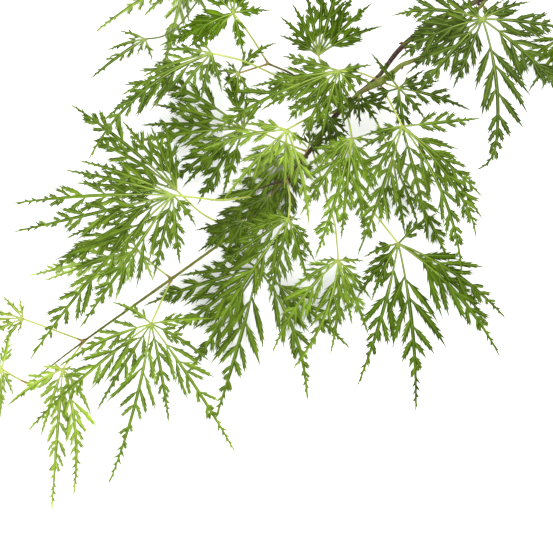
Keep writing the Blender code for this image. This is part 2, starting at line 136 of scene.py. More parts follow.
FILLER_SINK = 0.9      # mm that the finer lobes lie lower
SINK_START = 4.0       # over the first quarter of the lobe

# A lobe's own narrow blade along its rib, as half widths in mm
WING_BARE = 0.55       # before the first pair
WING_FULL = 1.0        # after it
WING_TAIL = 0.52       # and near the tip
WING_WIDENS = 0.15     # share of the lobe over which it widens
WING_NARROWS = (0.55, 0.4)   # share from which it narrows, and over which
WING_FOLLOWS = 0.3     # share of its segments' extra width that it takes up
POINT_HALF = 0.08
POINT_SLOPE = 0.085    # half its width over the length that is left to its point
LAST_STOP = 0.988
TIP_FROM = 0.84        # share of a lobe from which its tail is the colour of young growth
DRY_FROM = 0.72
TAIL_TOOTH = (2.3, 5.0)   # mm, how long its teeth are at least, on short and long lobes
TAIL_TOOTH_SHARE = 0.05
TAIL_TOOTH_OUT = 0.50  # of its length that such a tooth stands out
TAIL_OUT_SPREAD, TAIL_AHEAD_SPREAD = (0.75, 1.3), (0.75, 1.15)
TAIL_AHEAD = 0.3       # mm that its point lies ahead at least
TIP_TAPER = 15.0       # mm from the point over which its teeth shrink
TIP_SHARE = 0.34       # and at most this share of the lobe

# A side segment
HALF_WIDTH = (0.64, 0.013)   # mm, half its width at its widest, and more by its length
WIDTH_SPREAD = (0.88, 1.12)
FOOT_WIDTH, FOOT_OVER = 0.34, 0.4      # its slim foot's width, and the share over which it widens
POINT_LOSS, POINT_FROM, POINT_OVER = 0.88, 0.42, 0.55   # and how it draws out to a long point
TOOTH_PITCH = (2.1, 0.055)   # mm between two teeth, and more by its length
TOOTH_STAND = (0.80, 0.012)  # mm that a tooth stands out, likewise
TOOTH_FOLLOWS = 0.45   # share of a segment's extra width that its teeth take up too
TOOTH_FADE = (1.25, -0.6)    # a tooth's size near the segment's foot, and less along it
STAND_SPREAD, OUT_SPREAD, AHEAD_SPREAD = (0.85, 1.15), (0.7, 1.3), (0.75, 1.35)
TOOTHED = (0.13, 0.74)  # shares of a segment between which it has teeth
TAPER_AT = 0.87        # share at which its drawn-out point is still a little wide
TOOTH_AHEAD = 0.62     # of the way to the next tooth that a tooth's point lies ahead
OUTER_TOOTH, INNER_TOOTH = 1.2, 0.85
TOOTH_MISSING = 0.12
TOOTH_WALL = 0.22      # of the blade's thickness, at the root of a tooth

# A blade's section
BLADE_THICK = 0.42     # mm
SEGMENT_THICK = BLADE_THICK * 0.9
THIN_POINT = 0.5       # share of its thickness that a blade loses towards its point
RIB_SINK = 0.7         # of half a blade, that the groove along its rib stands over its middle
RIB_LIFT = 1.45        # of half a blade, at which the rib lies in that groove
PUFF = 0.14            # mm that each half of a blade swells beside its rib
FOLD = 0.26            # slope by which the halves of a blade rise from the rib
FOLD_SPREAD = (0.3, 1.5)
SIDE_SLOPE = 0.055     # slope along a segment, up or down at random
ROLL = 0.16            # slope across a blade, at random
LOBE_EVEN = 0.5        # of that fold and roll, for a lobe's own blade
ARCH, ARCH_LENGTH = 0.25, 20.0   # mm that a segment arches, and how long it is for all of it
WAVE = (0.1, 0.4)      # mm by which a rib waves up and down
WAVES, WAVE_START = 5.0, 3.0

# The greens that the left and right half of a blade may wear, lighter or darker as painted light and
# painted shade either side of its fold, and the other finishes of a leaf
LEAF, PAINTED_LIGHT, PAINTED_SHADE, TIP, UNDER, DRY = range(6)
SIDE_RIB, MAIN_RIB = range(2)
STALK, FOOT, HUB = range(3)
HALF_GREENS = ((LEAF, PAINTED_SHADE), (LEAF, PAINTED_SHADE), (PAINTED_LIGHT, PAINTED_SHADE), (PAINTED_LIGHT, LEAF), (LEAF, LEAF), (PAINTED_SHADE, LEAF),
               (PAINTED_SHADE, PAINTED_LIGHT))
# For the lobes that lie lower: mostly the darker copy, as painted shade
SHADED_GREENS = ((LEAF, PAINTED_SHADE), (PAINTED_SHADE, PAINTED_SHADE), (PAINTED_SHADE, LEAF))
GLEAM = 0.28           # of a blade's green, how glossy it is
SHARPEST_SMOOTH = 50.0  # degrees between faces past which an edge is sharp

# A leaf's stalk and hub
STALK_RADIUS = 0.58
FOOT_RADIUS = 0.95
FOOT_REACH = 2.6       # mm over which its foot is swollen
RED_FOOT = 1.7         # times that reach, over which it is red
STALK_SIDES = 8
HUB_RADIUS = 0.66
HUB_LIFT = 0.12        # mm over the leaf
HUB_FLAT = 0.75
HUB_RINGS = (-0.75, -0.3, 0.3, 0.75)

# Bark, buds and the cut
NODE_REACH = 1.7       # mm either side of a node over which the limb swells
NODE_SWELL = 0.28
RELIEF = 0.30          # mm
RELIEF_GRAINS = ((0.0024, 1.0), (0.0007, 0.4))   # how coarse each is in m, and its share of it
BARK_BEVEL = 3
WELD = 0.00001
GREEN_REACH = (-160.0, 30.0)  # mm along X over which the stem's bark turns green and brown again
GREEN_STRETCH = [(0.16, (0.42,) * 3), (0.30, (0.95,) * 3), (0.72, (0.9,) * 3), (0.92, (0.0,) * 3)]
SLIM_END = 0.16        # share of its thickness that the stem loses towards its tip
SLIM_FROM, SLIM_OVER = 25.0, 45.0
CUT_SIDES = 24
CUT_DEPTH = 0.4        # mm that the cut's disc stands in the limb
CUT_RINGS = [(0.90, 0.0), (0.93, 0.50), (0.84, 0.54), (0.52, 0.55), (0.20, 0.55)]
CUT_EDGES = (0.9, 0.6, 0.1)  # shares of the cut's radius within which young wood, wood and pith lie
BUD_SIDES = 10
BUD_LEAN = math.radians(32.0)
BUD_SLIM = 0.29        # half its width over its length
BUD_INSET = 0.8        # share of the limb's radius at which a bud's foot stands
BUD_RINGS = [(0.55, 0.0), (0.85, 0.12), (1.0, 0.3), (0.9, 0.45), (0.82, 0.47), (0.62, 0.65),
             (0.52, 0.68), (0.26, 0.85), (0.1, 0.95)]

# The view: what the camera looks straight down on
FRAME_WIDTH = 331.8    # mm across, at the height of the leaves
FRAME_MIDDLE = (-8.1, -29.7)
FRAME_HEIGHT = 16.0
LENS, SENSOR = 600.0, 36.0
FARTHEST = 20.0        # m that the camera sees
FLOOR_SIZE = 8.0
FLOOR_WHITE = (0.96, 0.96, 0.96)
WORLD_LIGHT = 1.85
LAMPS = [((-1.3, 1.5, 2.6), 1.6, 79.0), ((1.8, -0.8, 2.4), 1.4, 33.0)]   # place, size and watts

Stem = namedtuple("Stem", "parent level points radii bark")
Leaf = namedtuple("Leaf", "level tone droop stem hub stalk lobes")

# A stem runs through its points, as thick as its radii say
STEMS = {
    "main_stem": Stem(
        None, STEM_LEVEL,
        [(171, 166), (141, 149), (107, 133), (81, 119), (67, 108), (50, 87), (31, 71), (10, 43),
         (-17, 13), (-30, -1), (-71, -31), (-123, -68), (-157, -94)],
        [1.7, 1.9, 1.6, 1.4, 1.6, 1.3, 1.5, 1.0, 0.85, 0.85, 1.0, 0.75, 0.35], "bark"),
    "green_shoot": Stem(
        "main_stem", 3.8,
        [(119, 138), (108, 125), (99, 115), (81, 103), (67, 97), (62, 93), (54, 87), (43, 81),
         (37, 77)],
        [1.1, 1.1, 1.05, 1.2, 1.5, 1.6, 2.1, 1.2, 0.7], "green_bark"),
    "side_twig": Stem(
        "main_stem", 3.0, [(31, 71), (18, 81), (6, 88), (1, 92), (-13, 98)],
        [0.8, 0.75, 0.7, 0.7, 0.6], "bark"),
    "arching_twig": Stem(
        "main_stem", 2.6, [(141, 149), (108, 161), (66, 167), (24, 169), (-12, 167), (-39, 161)],
        [1.2, 1.1, 1.0, 0.9, 0.8, 0.6], "bark"),
    "dead_twig": Stem(
        "main_stem", 3.3, [(-3, 28), (-10, 26), (-18, 23)], [0.6, 0.55, 0.35], "dead_bark"),
    "dead_spur": Stem(
        "main_stem", 3.3, [(1, 32.6), (5, 29), (9, 27)], [0.5, 0.45, 0.35], "dead_bark"),
}

# Pairs of buds: the node, how long they are in mm, and the sides that still have one
BUDS = {
    "main_stem": [((69, 110), 3.2, (1.0, -1.0)), ((118, 138), 2.6, (1.0, -1.0)),
                  ((31, 71), 2.4, (-1.0,)), ((-71, -31), 2.0, (1.0, -1.0)),
                  ((-123, -68), 1.8, (-1.0,)), ((10, 43), 2.0, (1.0,))],
    "green_shoot": [((116, 134), 2.8, (-1.0,)), ((67, 97), 2.2, (1.0,)), ((37, 77), 2.2, (1.0, -1.0))],
    "side_twig": [((-13, 98), 1.8, (1.0, -1.0))],
    "arching_twig": [((66, 167), 2.0, (1.0, -1.0)), ((-12, 167), 1.8, (1.0, -1.0))],
}

# Leaf greens from the youngest growth to the leaves that hang in shade: the colour of the
# blade, of the ribs of its side segments and of its main ribs, and the leaves that have it
Tint = namedtuple("Tint", "blade side_rib main_rib leaves")
TINTS = {
    "young": Tint((0.108, 0.172, 0.018), (0.178, 0.257, 0.036), (0.288, 0.348, 0.068), (15, 17)),
    "flushed": Tint((0.094, 0.146, 0.015), (0.156, 0.221, 0.031), (0.250, 0.303, 0.060), (16,)),
    # Leaf 23's green is made paler as painted light, against the shade that leaf 07 casts over it
    "pale": Tint((0.138, 0.214, 0.038), (0.208, 0.294, 0.053), (0.310, 0.380, 0.095), (23,)),
    "lit": Tint((0.089, 0.144, 0.021), (0.151, 0.219, 0.033), (0.257, 0.318, 0.068), (21,)),
    "bright": Tint((0.087, 0.142, 0.0174), (0.151, 0.219, 0.030), (0.250, 0.318, 0.064), (8,)),
    "fresh": Tint((0.066, 0.118, 0.0083), (0.121, 0.189, 0.023), (0.219, 0.288, 0.049), (11,)),
    "full": Tint((0.060, 0.106, 0.0076), (0.106, 0.170, 0.0182), (0.197, 0.265, 0.038), (13, 14)),
    "green": Tint((0.043, 0.077, 0.0053), (0.091, 0.148, 0.0166), (0.182, 0.250, 0.038),
                  (2, 7, 10, 18, 19, 22)),
    "plain": Tint((0.039, 0.070, 0.0038), (0.091, 0.144, 0.0166), (0.182, 0.242, 0.034), (25,)),
    "leafy": Tint((0.041, 0.076, 0.0026), (0.093, 0.151, 0.0130), (0.182, 0.242, 0.030), (20, 26)),
    # Leaf 1's dark green with a bluish grey cast, as painted sheen
    "painted_sheen": Tint((0.030, 0.051, 0.0068), (0.083, 0.136, 0.0197), (0.174, 0.235, 0.038), (1,)),
    "soft": Tint((0.049, 0.086, 0.0091), (0.098, 0.159, 0.021), (0.189, 0.257, 0.042), (5, 9)),
    "deep": Tint((0.036, 0.067, 0.0034), (0.081, 0.134, 0.0148), (0.166, 0.227, 0.030), (6, 24)),
    "rich": Tint((0.038, 0.078, 0.0008), (0.076, 0.132, 0.0091), (0.166, 0.242, 0.026), (4,)),
    "dark": Tint((0.025, 0.050, 0.0008), (0.068, 0.114, 0.0091), (0.159, 0.219, 0.026), (3,)),
    "cool": Tint((0.031, 0.060, 0.0024), (0.077, 0.125, 0.0120), (0.159, 0.219, 0.026), (12,)),
    "shaded": Tint((0.021, 0.040, 0.0015), (0.057, 0.095, 0.0098), (0.114, 0.166, 0.023), (27,)),
    # The small leaves' green, with ribs hardly lighter than the blade, dark as painted shade
    "hidden": Tint((0.029, 0.051, 0.003), (0.039, 0.070, 0.0068), (0.057, 0.095, 0.0106), ()),
}
TONES = ("pale", "bright", "mid", "dark")

# How a leaf is cut: how wide and how long its segments are beside the usual, how fast they
# shorten towards the tips of its lobes, the share of a lobe that is bare at the hub, how far
# apart its pairs are, and how far its teeth stand out
Cut = namedtuple("Cut", "wide long fall bare coarse teeth", defaults=[0.15, 1.0, 1.0])
PLAIN_CUT = Cut(1.0, 1.0, 1.8)
CUTS = {
    "leaf_01": Cut(1.55, 1.12, 1.3, 0.17, 1.15, 0.85),
    "leaf_02": Cut(1.35, 1.05, 1.2, 0.16, 1.1, 0.9),
    "leaf_03": Cut(1.5, 1.05, 1.5, 0.22, 1.15, 0.85),
    "leaf_04": Cut(1.4, 1.0, 1.4, 0.16, 0.9, 0.8),
    "leaf_05": Cut(1.2, 1.0, 1.5, 0.2, 1.05),
    "leaf_06": Cut(1.65, 1.05, 1.2, 0.3, 1.25, 0.75),
    "leaf_07": Cut(1.2, 1.0, 1.4, 0.17, 1.05),
    "leaf_08": Cut(1.4, 1.0, 1.4, 0.2, 1.25, 0.8),
    "leaf_09": Cut(1.55, 1.1, 1.1, 0.2, 1.3, 0.8),
    "leaf_10": Cut(1.2, 0.95, 1.3, 0.18, 1.15),
    "leaf_11": Cut(1.25, 1.05, 1.3, 0.15, 1.1),
    "leaf_12": Cut(1.45, 1.12, 1.6, 0.2, 1.15, 0.9),
    "leaf_14": Cut(1.05, 0.88, 1.8, 0.15, 1.02),
    "leaf_15": Cut(1.0, 0.8, 1.8, 0.12, 0.72),
    "leaf_16": Cut(0.9, 0.7, 1.8, 0.2, 0.9),
    "leaf_17": Cut(0.95, 0.8, 1.8, 0.15, 0.8),
    "leaf_18": Cut(1.25, 1.05, 1.4),
    "leaf_19": Cut(1.5, 1.0, 1.4, 0.2, 1.2, 0.8),
    "leaf_20": Cut(1.2, 1.0, 1.5, 0.2, 1.1),
    "leaf_21": Cut(0.85, 0.8, 1.7),
    "leaf_22": Cut(0.9, 0.65, 1.5, 0.2, 1.0),
    "leaf_24": Cut(1.4, 1.05, 1.2, 0.25, 1.2, 0.85),
    "leaf_26": Cut(1.3, 1.0, 1.5, 0.38, 1.15, 0.9),
    "leaf_27": Cut(1.2, 1.0, 1.5, 0.2, 1.2),
    **{f"small_{number}": Cut(1.2, 1.1, 1.3, 0.15, 1.2) for number in (31, 32, 33)},
    **{f"small_{number}": Cut(1.3, 1.1, 1.2, 0.12, 1.2) for number in (34, 35)},
}

# Finer lobes that fill a leaf between its main ones, a little lower, and darker as painted shade
FILLERS = {
    "leaf_01": [(-113, 46, 0), (-144, 57, 14), (-162, 52, 26)],
    "leaf_02": [(-84, 34, 4), (-119, 46, 8), (-22, 24, -10), (-163, 52, 8)],
    "leaf_03": [(135, 34, 14), (59, 46, -8)],
    "leaf_04": [(-156, 50, 4), (-142, 36, 12), (-163, 38, 14)],
    "leaf_05": [(-75, 24, -5), (-103, 30, 2), (-148, 78, 20)],
    "leaf_06": [(-121, 54, 8), (-143, 60, 8), (178, 62, 12)],
    "leaf_07": [(-103, 52, 2), (-148, 88, 8), (-158, 70, 5), (173, 60, 8)],
    "leaf_09": [(-90, 47, 0), (-119, 72, 5), (-40, 26, -10)],
    "leaf_10": [(-49, 74, -20), (-76, 62, -4), (-152, 30, 6)],
    "leaf_11": [(-82, 57, 2), (-124, 56, 5), (-147, 36, 12)],
    "leaf_12": [(-127, 42, 14), (-41, 70, -26)],
    "leaf_13": [(-95, 58, -18)],
    "leaf_14": [(-33, 42, -20), (-80, 62, -6), (-122, 62, 6)],
    "leaf_18": [(-103, 52, 0), (-145, 60, 8), (-168, 42, 5)],
    "leaf_19": [(150, 34, 10), (-124, 80, 0)],
    "leaf_20": [(-40, 38, -12)],
    "leaf_24": [(100, 42, 3)],
    "leaf_27": [(-162, 30, 5), (10, 26, -10)],
}

# Lobes that are dry towards their ends, and lobes that lie low under the others, darker as painted
# shade
DRY_LOBES = {("leaf_06", 4), ("leaf_06", 5)}
SHADED_LOBES = {("leaf_25", 0), ("leaf_12", 0)}
SHADED_LOBE_SINK = 0.05

# A leaf's level, tone, droop (1 lets its tips down to the floor), stem, hub, the points of its
# stalk from the stem to the hub, and its lobes as (heading, length, turn[, curl at the tip])
LEAVES = {
    "leaf_01": Leaf(
        6, "mid", 0.2, "green_shoot", (115, 124), [(116, 133), (118, 128)],
        [(41, 18, -40), (20, 32, -25), (-7, 55, -15), (-42, 65, -15), (-93, 90, -32, -70),
         (-131, 61, 8), (-154, 57, 35), (178, 55, 38), (134, 22, -15)]),
    "leaf_02": Leaf(
        7, "pale", 0.0, "green_shoot", (29, 93), [(53, 88), (42, 92)],
        [(10, 21, -10), (-54, 21, -12), (-104, 40, 10), (-135, 44, 15), (-153, 53, 15),
         (-153, 90, 25), (-170, 54, 5), (165, 36, 5)]),
    "leaf_03": Leaf(
        4, "mid", 0.0, "side_twig", (17, 103), [(25, 76), (22, 88)],
        [(24, 43, -25), (44, 46, -10), (73, 54, -6), (86, 51, 0), (101, 42, 4), (117, 36, 9),
         (153, 27, 18)]),
    "leaf_04": Leaf(
        7, "bright", 0.0, "side_twig", (-34, 128), [(-13, 98), (-24, 115)],
        [(3, 23, -20), (48, 26, -13), (83, 36, -2), (108, 40, 6), (139, 36, 15),
         (-151, 40, 20), (-133, 29, 10), (-77, 27, -10)]),
    "leaf_05": Leaf(
        6, "pale", 0.1, "side_twig", (-47, 104), [(5, 88), (-4, 89), (-27, 99)],
        [(-82, 13, -3), (-129, 35, 10), (-155, 61, 12), (-139, 98, 45), (-161, 45, 20),
         (176, 31, 20), (135, 21, 14)]),
    "leaf_06": Leaf(
        3, "dark", 0.0, "main_stem", (-28, 59), [(11, 45), (-2, 50), (-16, 56)],
        [(52, 21, -20), (84, 22, 0), (106, 39, 8), (151, 65, 22), (165, 57, 15),
         (-173, 66, 12), (-152, 45, 15), (-136, 51, 10), (-107, 43, 5)]),
    "leaf_07": Leaf(
        7, "mid", 0.3, "main_stem", (-70, 19), [(-14, 16), (-22, 18), (-40, 16), (-53, 17)],
        [(-54, 24, -20), (-84, 43, 5), (-125, 98, 0), (-131, 131, 15), (-167, 99, 0),
         (-177, 98, 10), (167, 67, 8), (160, 61, 15)]),
    "leaf_08": Leaf(
        6, "bright", 0.0, "main_stem", (-2, 58), [(26, 65), (12, 65)],
        [(-41, 17, -15), (-77, 59, -20), (-92, 35, 1), (-122, 37, 10), (-132, 57, 10),
         (-167, 51, 20), (173, 28, 20)]),
    "leaf_09": Leaf(
        1, "dark", 0.6, "main_stem", (-2, 44), [(9, 42), (4, 45)],
        [(-73, 29, -6), (-107, 51, 6), (-130, 77, 5), (-142, 35, 10), (-169, 24, 20)]),
    "leaf_10": Leaf(
        7, "bright", 0.3, "green_shoot", (67, 60), [(54, 85), (59, 76)],
        [(6, 48, 0), (-41, 65, -8), (-57, 81, -28, -25), (-68, 97, -35), (-109, 82, -5),
         (-119, 50, 5), (-166, 25, 12)]),
    "leaf_11": Leaf(
        5, "bright", 0.0, "main_stem", (37, 53), [(31, 71), (35, 64)],
        [(-7, 15, -10), (-69, 33, -7), (-96, 62, 0), (-107, 75, -8), (-112, 36, 7),
         (-138, 29, 15), (-158, 19, 19)]),
    "leaf_12": Leaf(
        4, "mid", 1.0, "main_stem", (65, -10), [(16, 52), (33, 31), (46, 14)],
        [(38, 30, -20), (-35, 80, -28), (-48, 92, -30), (-84, 102, -14), (-106, 90, -12),
         (-115, 38, 18), (-158, 23, 25)]),
    "leaf_13": Leaf(
        3, "mid", 0.2, "main_stem", (29, -20), [(13, 48), (19, 28), (23, 13), (27, 1)],
        [(-2, 16, -15), (-50, 31, -13), (-68, 49, -7), (-78, 41, -4), (-113, 72, -35),
         (-125, 70, 30), (-148, 36, 15), (180, 13, 5)]),
    "leaf_14": Leaf(
        6, "bright", 0.0, "main_stem", (-83, -58), [(-71, -31)],
        [(5, 37, -15), (-57, 93, -8), (-105, 101, -14), (-139, 99, 12), (-155, 62, 22),
         (151, 27, 32)]),
    "leaf_15": Leaf(
        5, "pale", 1.0, "main_stem", (-136, -85), [(-123, -68), (-130, -77)],
        [(-3, 10, -20), (-59, 33, -25), (-86, 78, -28), (-95, 87, 0), (-108, 44, 5),
         (-146, 41, 20), (175, 14, 20)]),
    "leaf_16": Leaf(
        4, "pale", 0.2, "main_stem", (-160, -55), [(-125, -68), (-141, -62)],
        [(-108, 10, 6), (-129, 20, 11), (-152, 32, 17), (-173, 36, 20), (171, 26, 20),
         (133, 20, 14), (100, 14, 3)]),
    "leaf_17": Leaf(
        3, "pale", 1.0, "main_stem", (-173, -85), [(-157, -94), (-165, -90)],
        [(79, 25, 10), (121, 16, 10), (-173, 19, 20), (-141, 31, 16), (-111, 40, 7),
         (-92, 31, 0), (-66, 18, -8)]),
    "leaf_18": Leaf(
        4, "bright", 0.0, "main_stem", (-1, 5), [(-2, 29), (0, 16)],
        [(-4, 8, -15), (-58, 30, -10), (-73, 39, -5), (-102, 27, 4), (-123, 93, 5),
         (-163, 26, 15), (172, 18, 20)]),
    "leaf_19": Leaf(
        2, "dark", 1.0, "main_stem", (-19, -25), [(-27, 2), (-21, -11)],
        [(-41, 74, -8), (-70, 86, -38), (-106, 96, -5), (-142, 70, 5), (-162, 73, 12),
         (-175, 48, 10)]),
    "leaf_20": Leaf(
        3, "mid", 1.0, "main_stem", (171, 118), [(155, 157), (167, 136)],
        [(39, 19, -16), (-19, 27, -20), (-58, 42, -10), (-90, 49, 0), (-119, 42, 10),
         (-127, 47, 10), (-145, 53, 15)]),
    "leaf_21": Leaf(
        1, "mid", 0.8, "arching_twig", (-63, 151), [(-39, 161)],
        [(-43, 31, -15), (-60, 29, -10), (-86, 28, 0), (-104, 63, -5), (-136, 36, 5),
         (-148, 65, 15), (-167, 40, 20), (157, 23, 18)]),
    "leaf_22": Leaf(
        2, "pale", 0.3, "arching_twig", (-87, 113), [(-35, 163), (-51, 142), (-69, 119),
                                                     (-80, 114)],
        [(-72, 14, -6), (-117, 11, 9), (-146, 24, 10), (-144, 42, 12), (-163, 25, 19),
         (163, 17, 19)]),
    "leaf_23": Leaf(
        4, "dark", 0.7, "main_stem", (-91, -14), [(-71, -31), (-79, -25), (-86, -19)],
        [(-64, 21, -15), (-114, 34, 20), (-147, 55, 5), (-162, 61, 8), (-167, 70, 0),
         (170, 35, 20), (129, 27, 13)]),
    "leaf_24": Leaf(
        5, "dark", 0.2, "main_stem", (-68, 22), [(-30, -1), (-43, 3), (-54, 9)],
        [(91, 24, 0), (112, 42, 5), (128, 54, 5), (141, 83, 12), (149, 60, 18),
         (166, 48, 15)]),
    "leaf_25": Leaf(
        4.6, "pale", 0.0, "side_twig", (-31, 92), [(-13, 98)],
        [(38, 30, -50), (-61, 15, -10), (-94, 16, 0), (-137, 13, 15), (173, 14, 20),
         (135, 11, 14)]),
    "leaf_26": Leaf(
        2, "dark", 0.8, "main_stem", (62, 40), [(42, 80), (54, 59)],
        [(-23, 31, -18), (-61, 71, -10), (-69, 42, -8), (-81, 46, 0), (-103, 40, 0)]),
    "leaf_27": Leaf(
        5, "dark", 0.2, "green_shoot", (65, 83), [(55, 87)],
        [(35, 20, -10), (-17, 46, -18), (-50, 26, -15), (-83, 35, 0), (-93, 20, 0),
         (128, 27, 0)]),
}

# Small leaves close along the stem, at its nodes, dark as painted shade
SMALL_LEAVES = {
    "small_31": Leaf(
        4.1, "dark", 0.0, "main_stem", (22, 67), [(28, 69.5)],
        [(-42, 19, -10), (-62, 26, -8), (-82, 27, 0), (-104, 20, 5), (-150, 15, 10)]),
    "small_32": Leaf(
        4.1, "dark", 0.0, "main_stem", (41, 77), [(43, 82)],
        [(-152, 20, 5), (-122, 20, 5), (-88, 17, 0), (-52, 20, -8), (-22, 26, -10)]),
    "small_33": Leaf(
        3.9, "dark", 0.0, "main_stem", (12, 50), [(8, 41)],
        [(18, 17, 0), (48, 15, 0), (-14, 15, -5), (-52, 14, 0), (96, 14, 5), (150, 12, 5)]),
    "small_34": Leaf(
        3.9, "dark", 0.0, "main_stem", (-12, 19), [(-17, 13)],
        [(-152, 33, 5), (-126, 26, 0), (-88, 18, 0)]),
    "small_35": Leaf(
        3.9, "dark", 0.0, "main_stem", (-28, 4), [(-33, -3.5)],
        [(-168, 30, 5), (-145, 34, 8), (-118, 26, 0)]),
}
# The small leaves wear this dark tint as painted shade
SMALL_TINT = "hidden"


# Heights

def smooth_step(share):
    share = np.clip(share, 0.0, 1.0)
    return share * share * (3.0 - 2.0 * share)


def eased(share):
    return float(smooth_step(share))


def plan_distance(line, spots):
    """The shortest way on the sheet from each spot to a line of points."""
    best = np.full(len(spots), np.inf)
    for start, end in zip(np.array(line, float), np.array(line[1:], float)):
        way = end - start
        along = np.clip((spots - start) @ way / (way @ way), 0.0, 1.0)
        best = np.minimum(best, np.linalg.norm(spots - start - along[:, None] * way, axis=1))
    return best


def heights(level, spots):
    """How high a level lies over the floor: fullest along the stem, low at the cut end."""
    stem = STEMS["main_stem"].points
    spread = np.exp(-((plan_distance(stem, spots) / LEVEL_REACH) ** 2))
    gap = LEVEL_GAP * (LEVEL_EDGE + (1.0 - LEVEL_EDGE) * spread)
    at_cut = CUT_HEIGHT / (LEVEL_GAP * (STEM_LEVEL - GROUND_LEVEL))
    rise = smooth_step(np.linalg.norm(spots - np.array(stem[0]), axis=1) / CUT_RISE)
    return gap * (level - GROUND_LEVEL) * (at_cut + (1.0 - at_cut) * rise)


def height(level, x, y):
    return float(heights(level, np.array([[x, y]], float))[0])


def leaf_heights(leaf, spots):
    """How high a leaf lies: its level, a little cupped, with its ends let down by its droop."""
    away = spots - np.array(leaf.hub)
    out = np.linalg.norm(away, axis=1)
    toward = np.degrees(np.arctan2(away[:, 1], away[:, 0]))
    total = np.zeros(len(spots))
    reach = np.zeros(len(spots))
    for heading, length, *_ in leaf.lobes:
        apart = (toward - heading + 180.0) % 360.0 - 180.0
        weight = np.exp(-((apart / LOBE_SPREAD) ** 2)) + FARTHEST_LOBE
        total += weight
        reach += weight * length
    top = heights(leaf.level + LEAF_CUP * (0.5 - out * total / reach), spots)
    longest = max(each[1] for each in leaf.lobes)
    fall = leaf.droop * smooth_step((out / longest - DROOP_START) / (1.0 - DROOP_START))
    return top * (1.0 - fall) + FLOOR_REST * fall


# Lines

def curve_through(rows, size):
    """A Catmull-Rom curve through rows, in short steps of the length that size tells."""
    ends = [2 * rows[0] - rows[1]] + rows + [2 * rows[-1] - rows[-2]]
    line = []
    for a, b, c, d in zip(ends, ends[1:], ends[2:], ends[3:]):
        steps = math.ceil(size(c - b) / LINE_STEP)
        for step in range(steps):
            u = step / steps
            line.append(0.5 * (2 * b + (c - a) * u + (2 * a - 5 * b + 4 * c - d) * u ** 2
                               + (3 * b - a - 3 * c + d) * u ** 3))
    return line + [rows[-1]]


def smooth_line(rows):
    """A smooth curve through rows of x, y, z and radius."""
    curve = curve_through([np.array(row, float) for row in rows],
                          lambda way: np.linalg.norm(way[:3]))
    return [tuple(row) for row in curve]


def resampled(line, step):
    """A limb's line on a smooth curve, with its points about a step apart."""
    fine = smooth_line(line)
    count = max(4, round(sum(math.dist(a[:3], b[:3]) for a, b in zip(fine, fine[1:])) / step))
    return [fine[round(number / count * (len(fine) - 1))] for number in range(count + 1)]


def start_clear(line, parent):
    """The line from where it is just clear of the stem that carries it, at side or end."""
    axis = [Vector(point[:2]) for point in parent]
    spine = [tuple(point) for point in axis]
    end_way = (axis[-1] - axis[-2]).normalized()
    near = min(range(len(axis)), key=lambda i: (axis[i] - line[0].xy).length)
    way = (axis[min(near + 1, len(axis) - 1)] - axis[max(near - 1, 0)]).normalized()
    thick = max(point[3] for point in parent[max(near - 1, 0):near + 2])
    for number, (point, ahead) in enumerate(zip(line, line[1:])):
        heading = (ahead.xy - point.xy).normalized()
        apart = plan_distance(spine, np.array([point.xy]))[0]
        aside = apart - thick - point.z * abs(heading.dot(way))
        past = (point.xy - axis[-1]).dot(end_way) - point.z * abs(heading.cross(end_way))
        if max(aside, past) >= CLEARANCE:
            return line[number:]
    return line


def limb_line(points, radii, parent, level, steps):
    """A limb that leaves its parent's level for its own, as rows of x, y, z and radius."""
    line = curve_through([Vector((*point, radius)) for point, radius in zip(points, radii)],
                         lambda way: way.length)
    start = level
    if parent:
        x, y, z, _ = min(parent, key=lambda row: math.dist(row[:2], line[0].xy))
        start = GROUND_LEVEL + z / height(GROUND_LEVEL + 1.0, x, y)
        line = start_clear(line, parent)
    rows = []
    for number in range(steps + 1):
        x, y, radius = line[round(number / steps * (len(line) - 1))]
        at = start + (level - start) * eased(number / steps / LIMB_RISE)
        rows.append((x, y, height(at, x, y), radius))
    return rows


def stem_lines():
    lines = {}
    for name, stem in STEMS.items():
        steps = STEM_STEPS * (len(stem.points) - 1)
        lines[name] = limb_line(stem.points, stem.radii, lines.get(stem.parent), stem.level, steps)
    return lines


def stalk_line(leaf, stems):
    points = leaf.stalk + [leaf.hub]
    radii = np.linspace(STALK_ROOT, STALK_END, len(points))
    return limb_line(points, radii, stems[leaf.stem], leaf.level, STALK_STEPS)


def rooted(line, spot, parent):
    """The limb's line, carried back into the middle of the one that bears it."""
    root = min(smooth_line(parent), key=lambda row: math.dist(row[:2], spot))
    middle = (np.array(line[0]) + np.array(root)) / 2.0
    return [(*root[:3], line[0][3]), (*middle[:3], line[0][3])] + list(line)


def lobe_path(hub, heading, length, turn, curl=0.0):
    """A lobe's rib: places and headings from the hub to the tip, as it bends and curls."""
    bends = []
    for number in range(RIB_STEPS + 1):
        share = number / RIB_STEPS
        tip = max(share - CURL_FROM, 0.0) / (1.0 - CURL_FROM)
        bends.append(math.radians(heading + turn * (share - 0.5) + curl * tip ** CURL_POWER))
    places = [0j]
    for a, b in zip(bends, bends[1:]):
        places.append(places[-1] + complex(math.cos((a + b) / 2), math.sin((a + b) / 2)))
    chord = complex(math.cos(math.radians(heading)), math.sin(math.radians(heading))) * length
    fit = chord / places[-1]
    swing = math.atan2(fit.imag, fit.real)
    ends = [(hub[0] + (place * fit).real, hub[1] + (place * fit).imag) for place in places]
    return ends, [bend + swing for bend in bends]


def path_at(path, share):
    """The place and the heading at a share of a lobe's length."""
    ends, bends = path
    at = min(max(share, 0.0), 1.0) * (len(ends) - 1)
    low = min(int(at), len(ends) - 2)
    part = at - low
    x = ends[low][0] + (ends[low + 1][0] - ends[low][0]) * part
    y = ends[low][1] + (ends[low + 1][1] - ends[low][1]) * part
    return x, y, bends[low] + (bends[low + 1] - bends[low]) * part


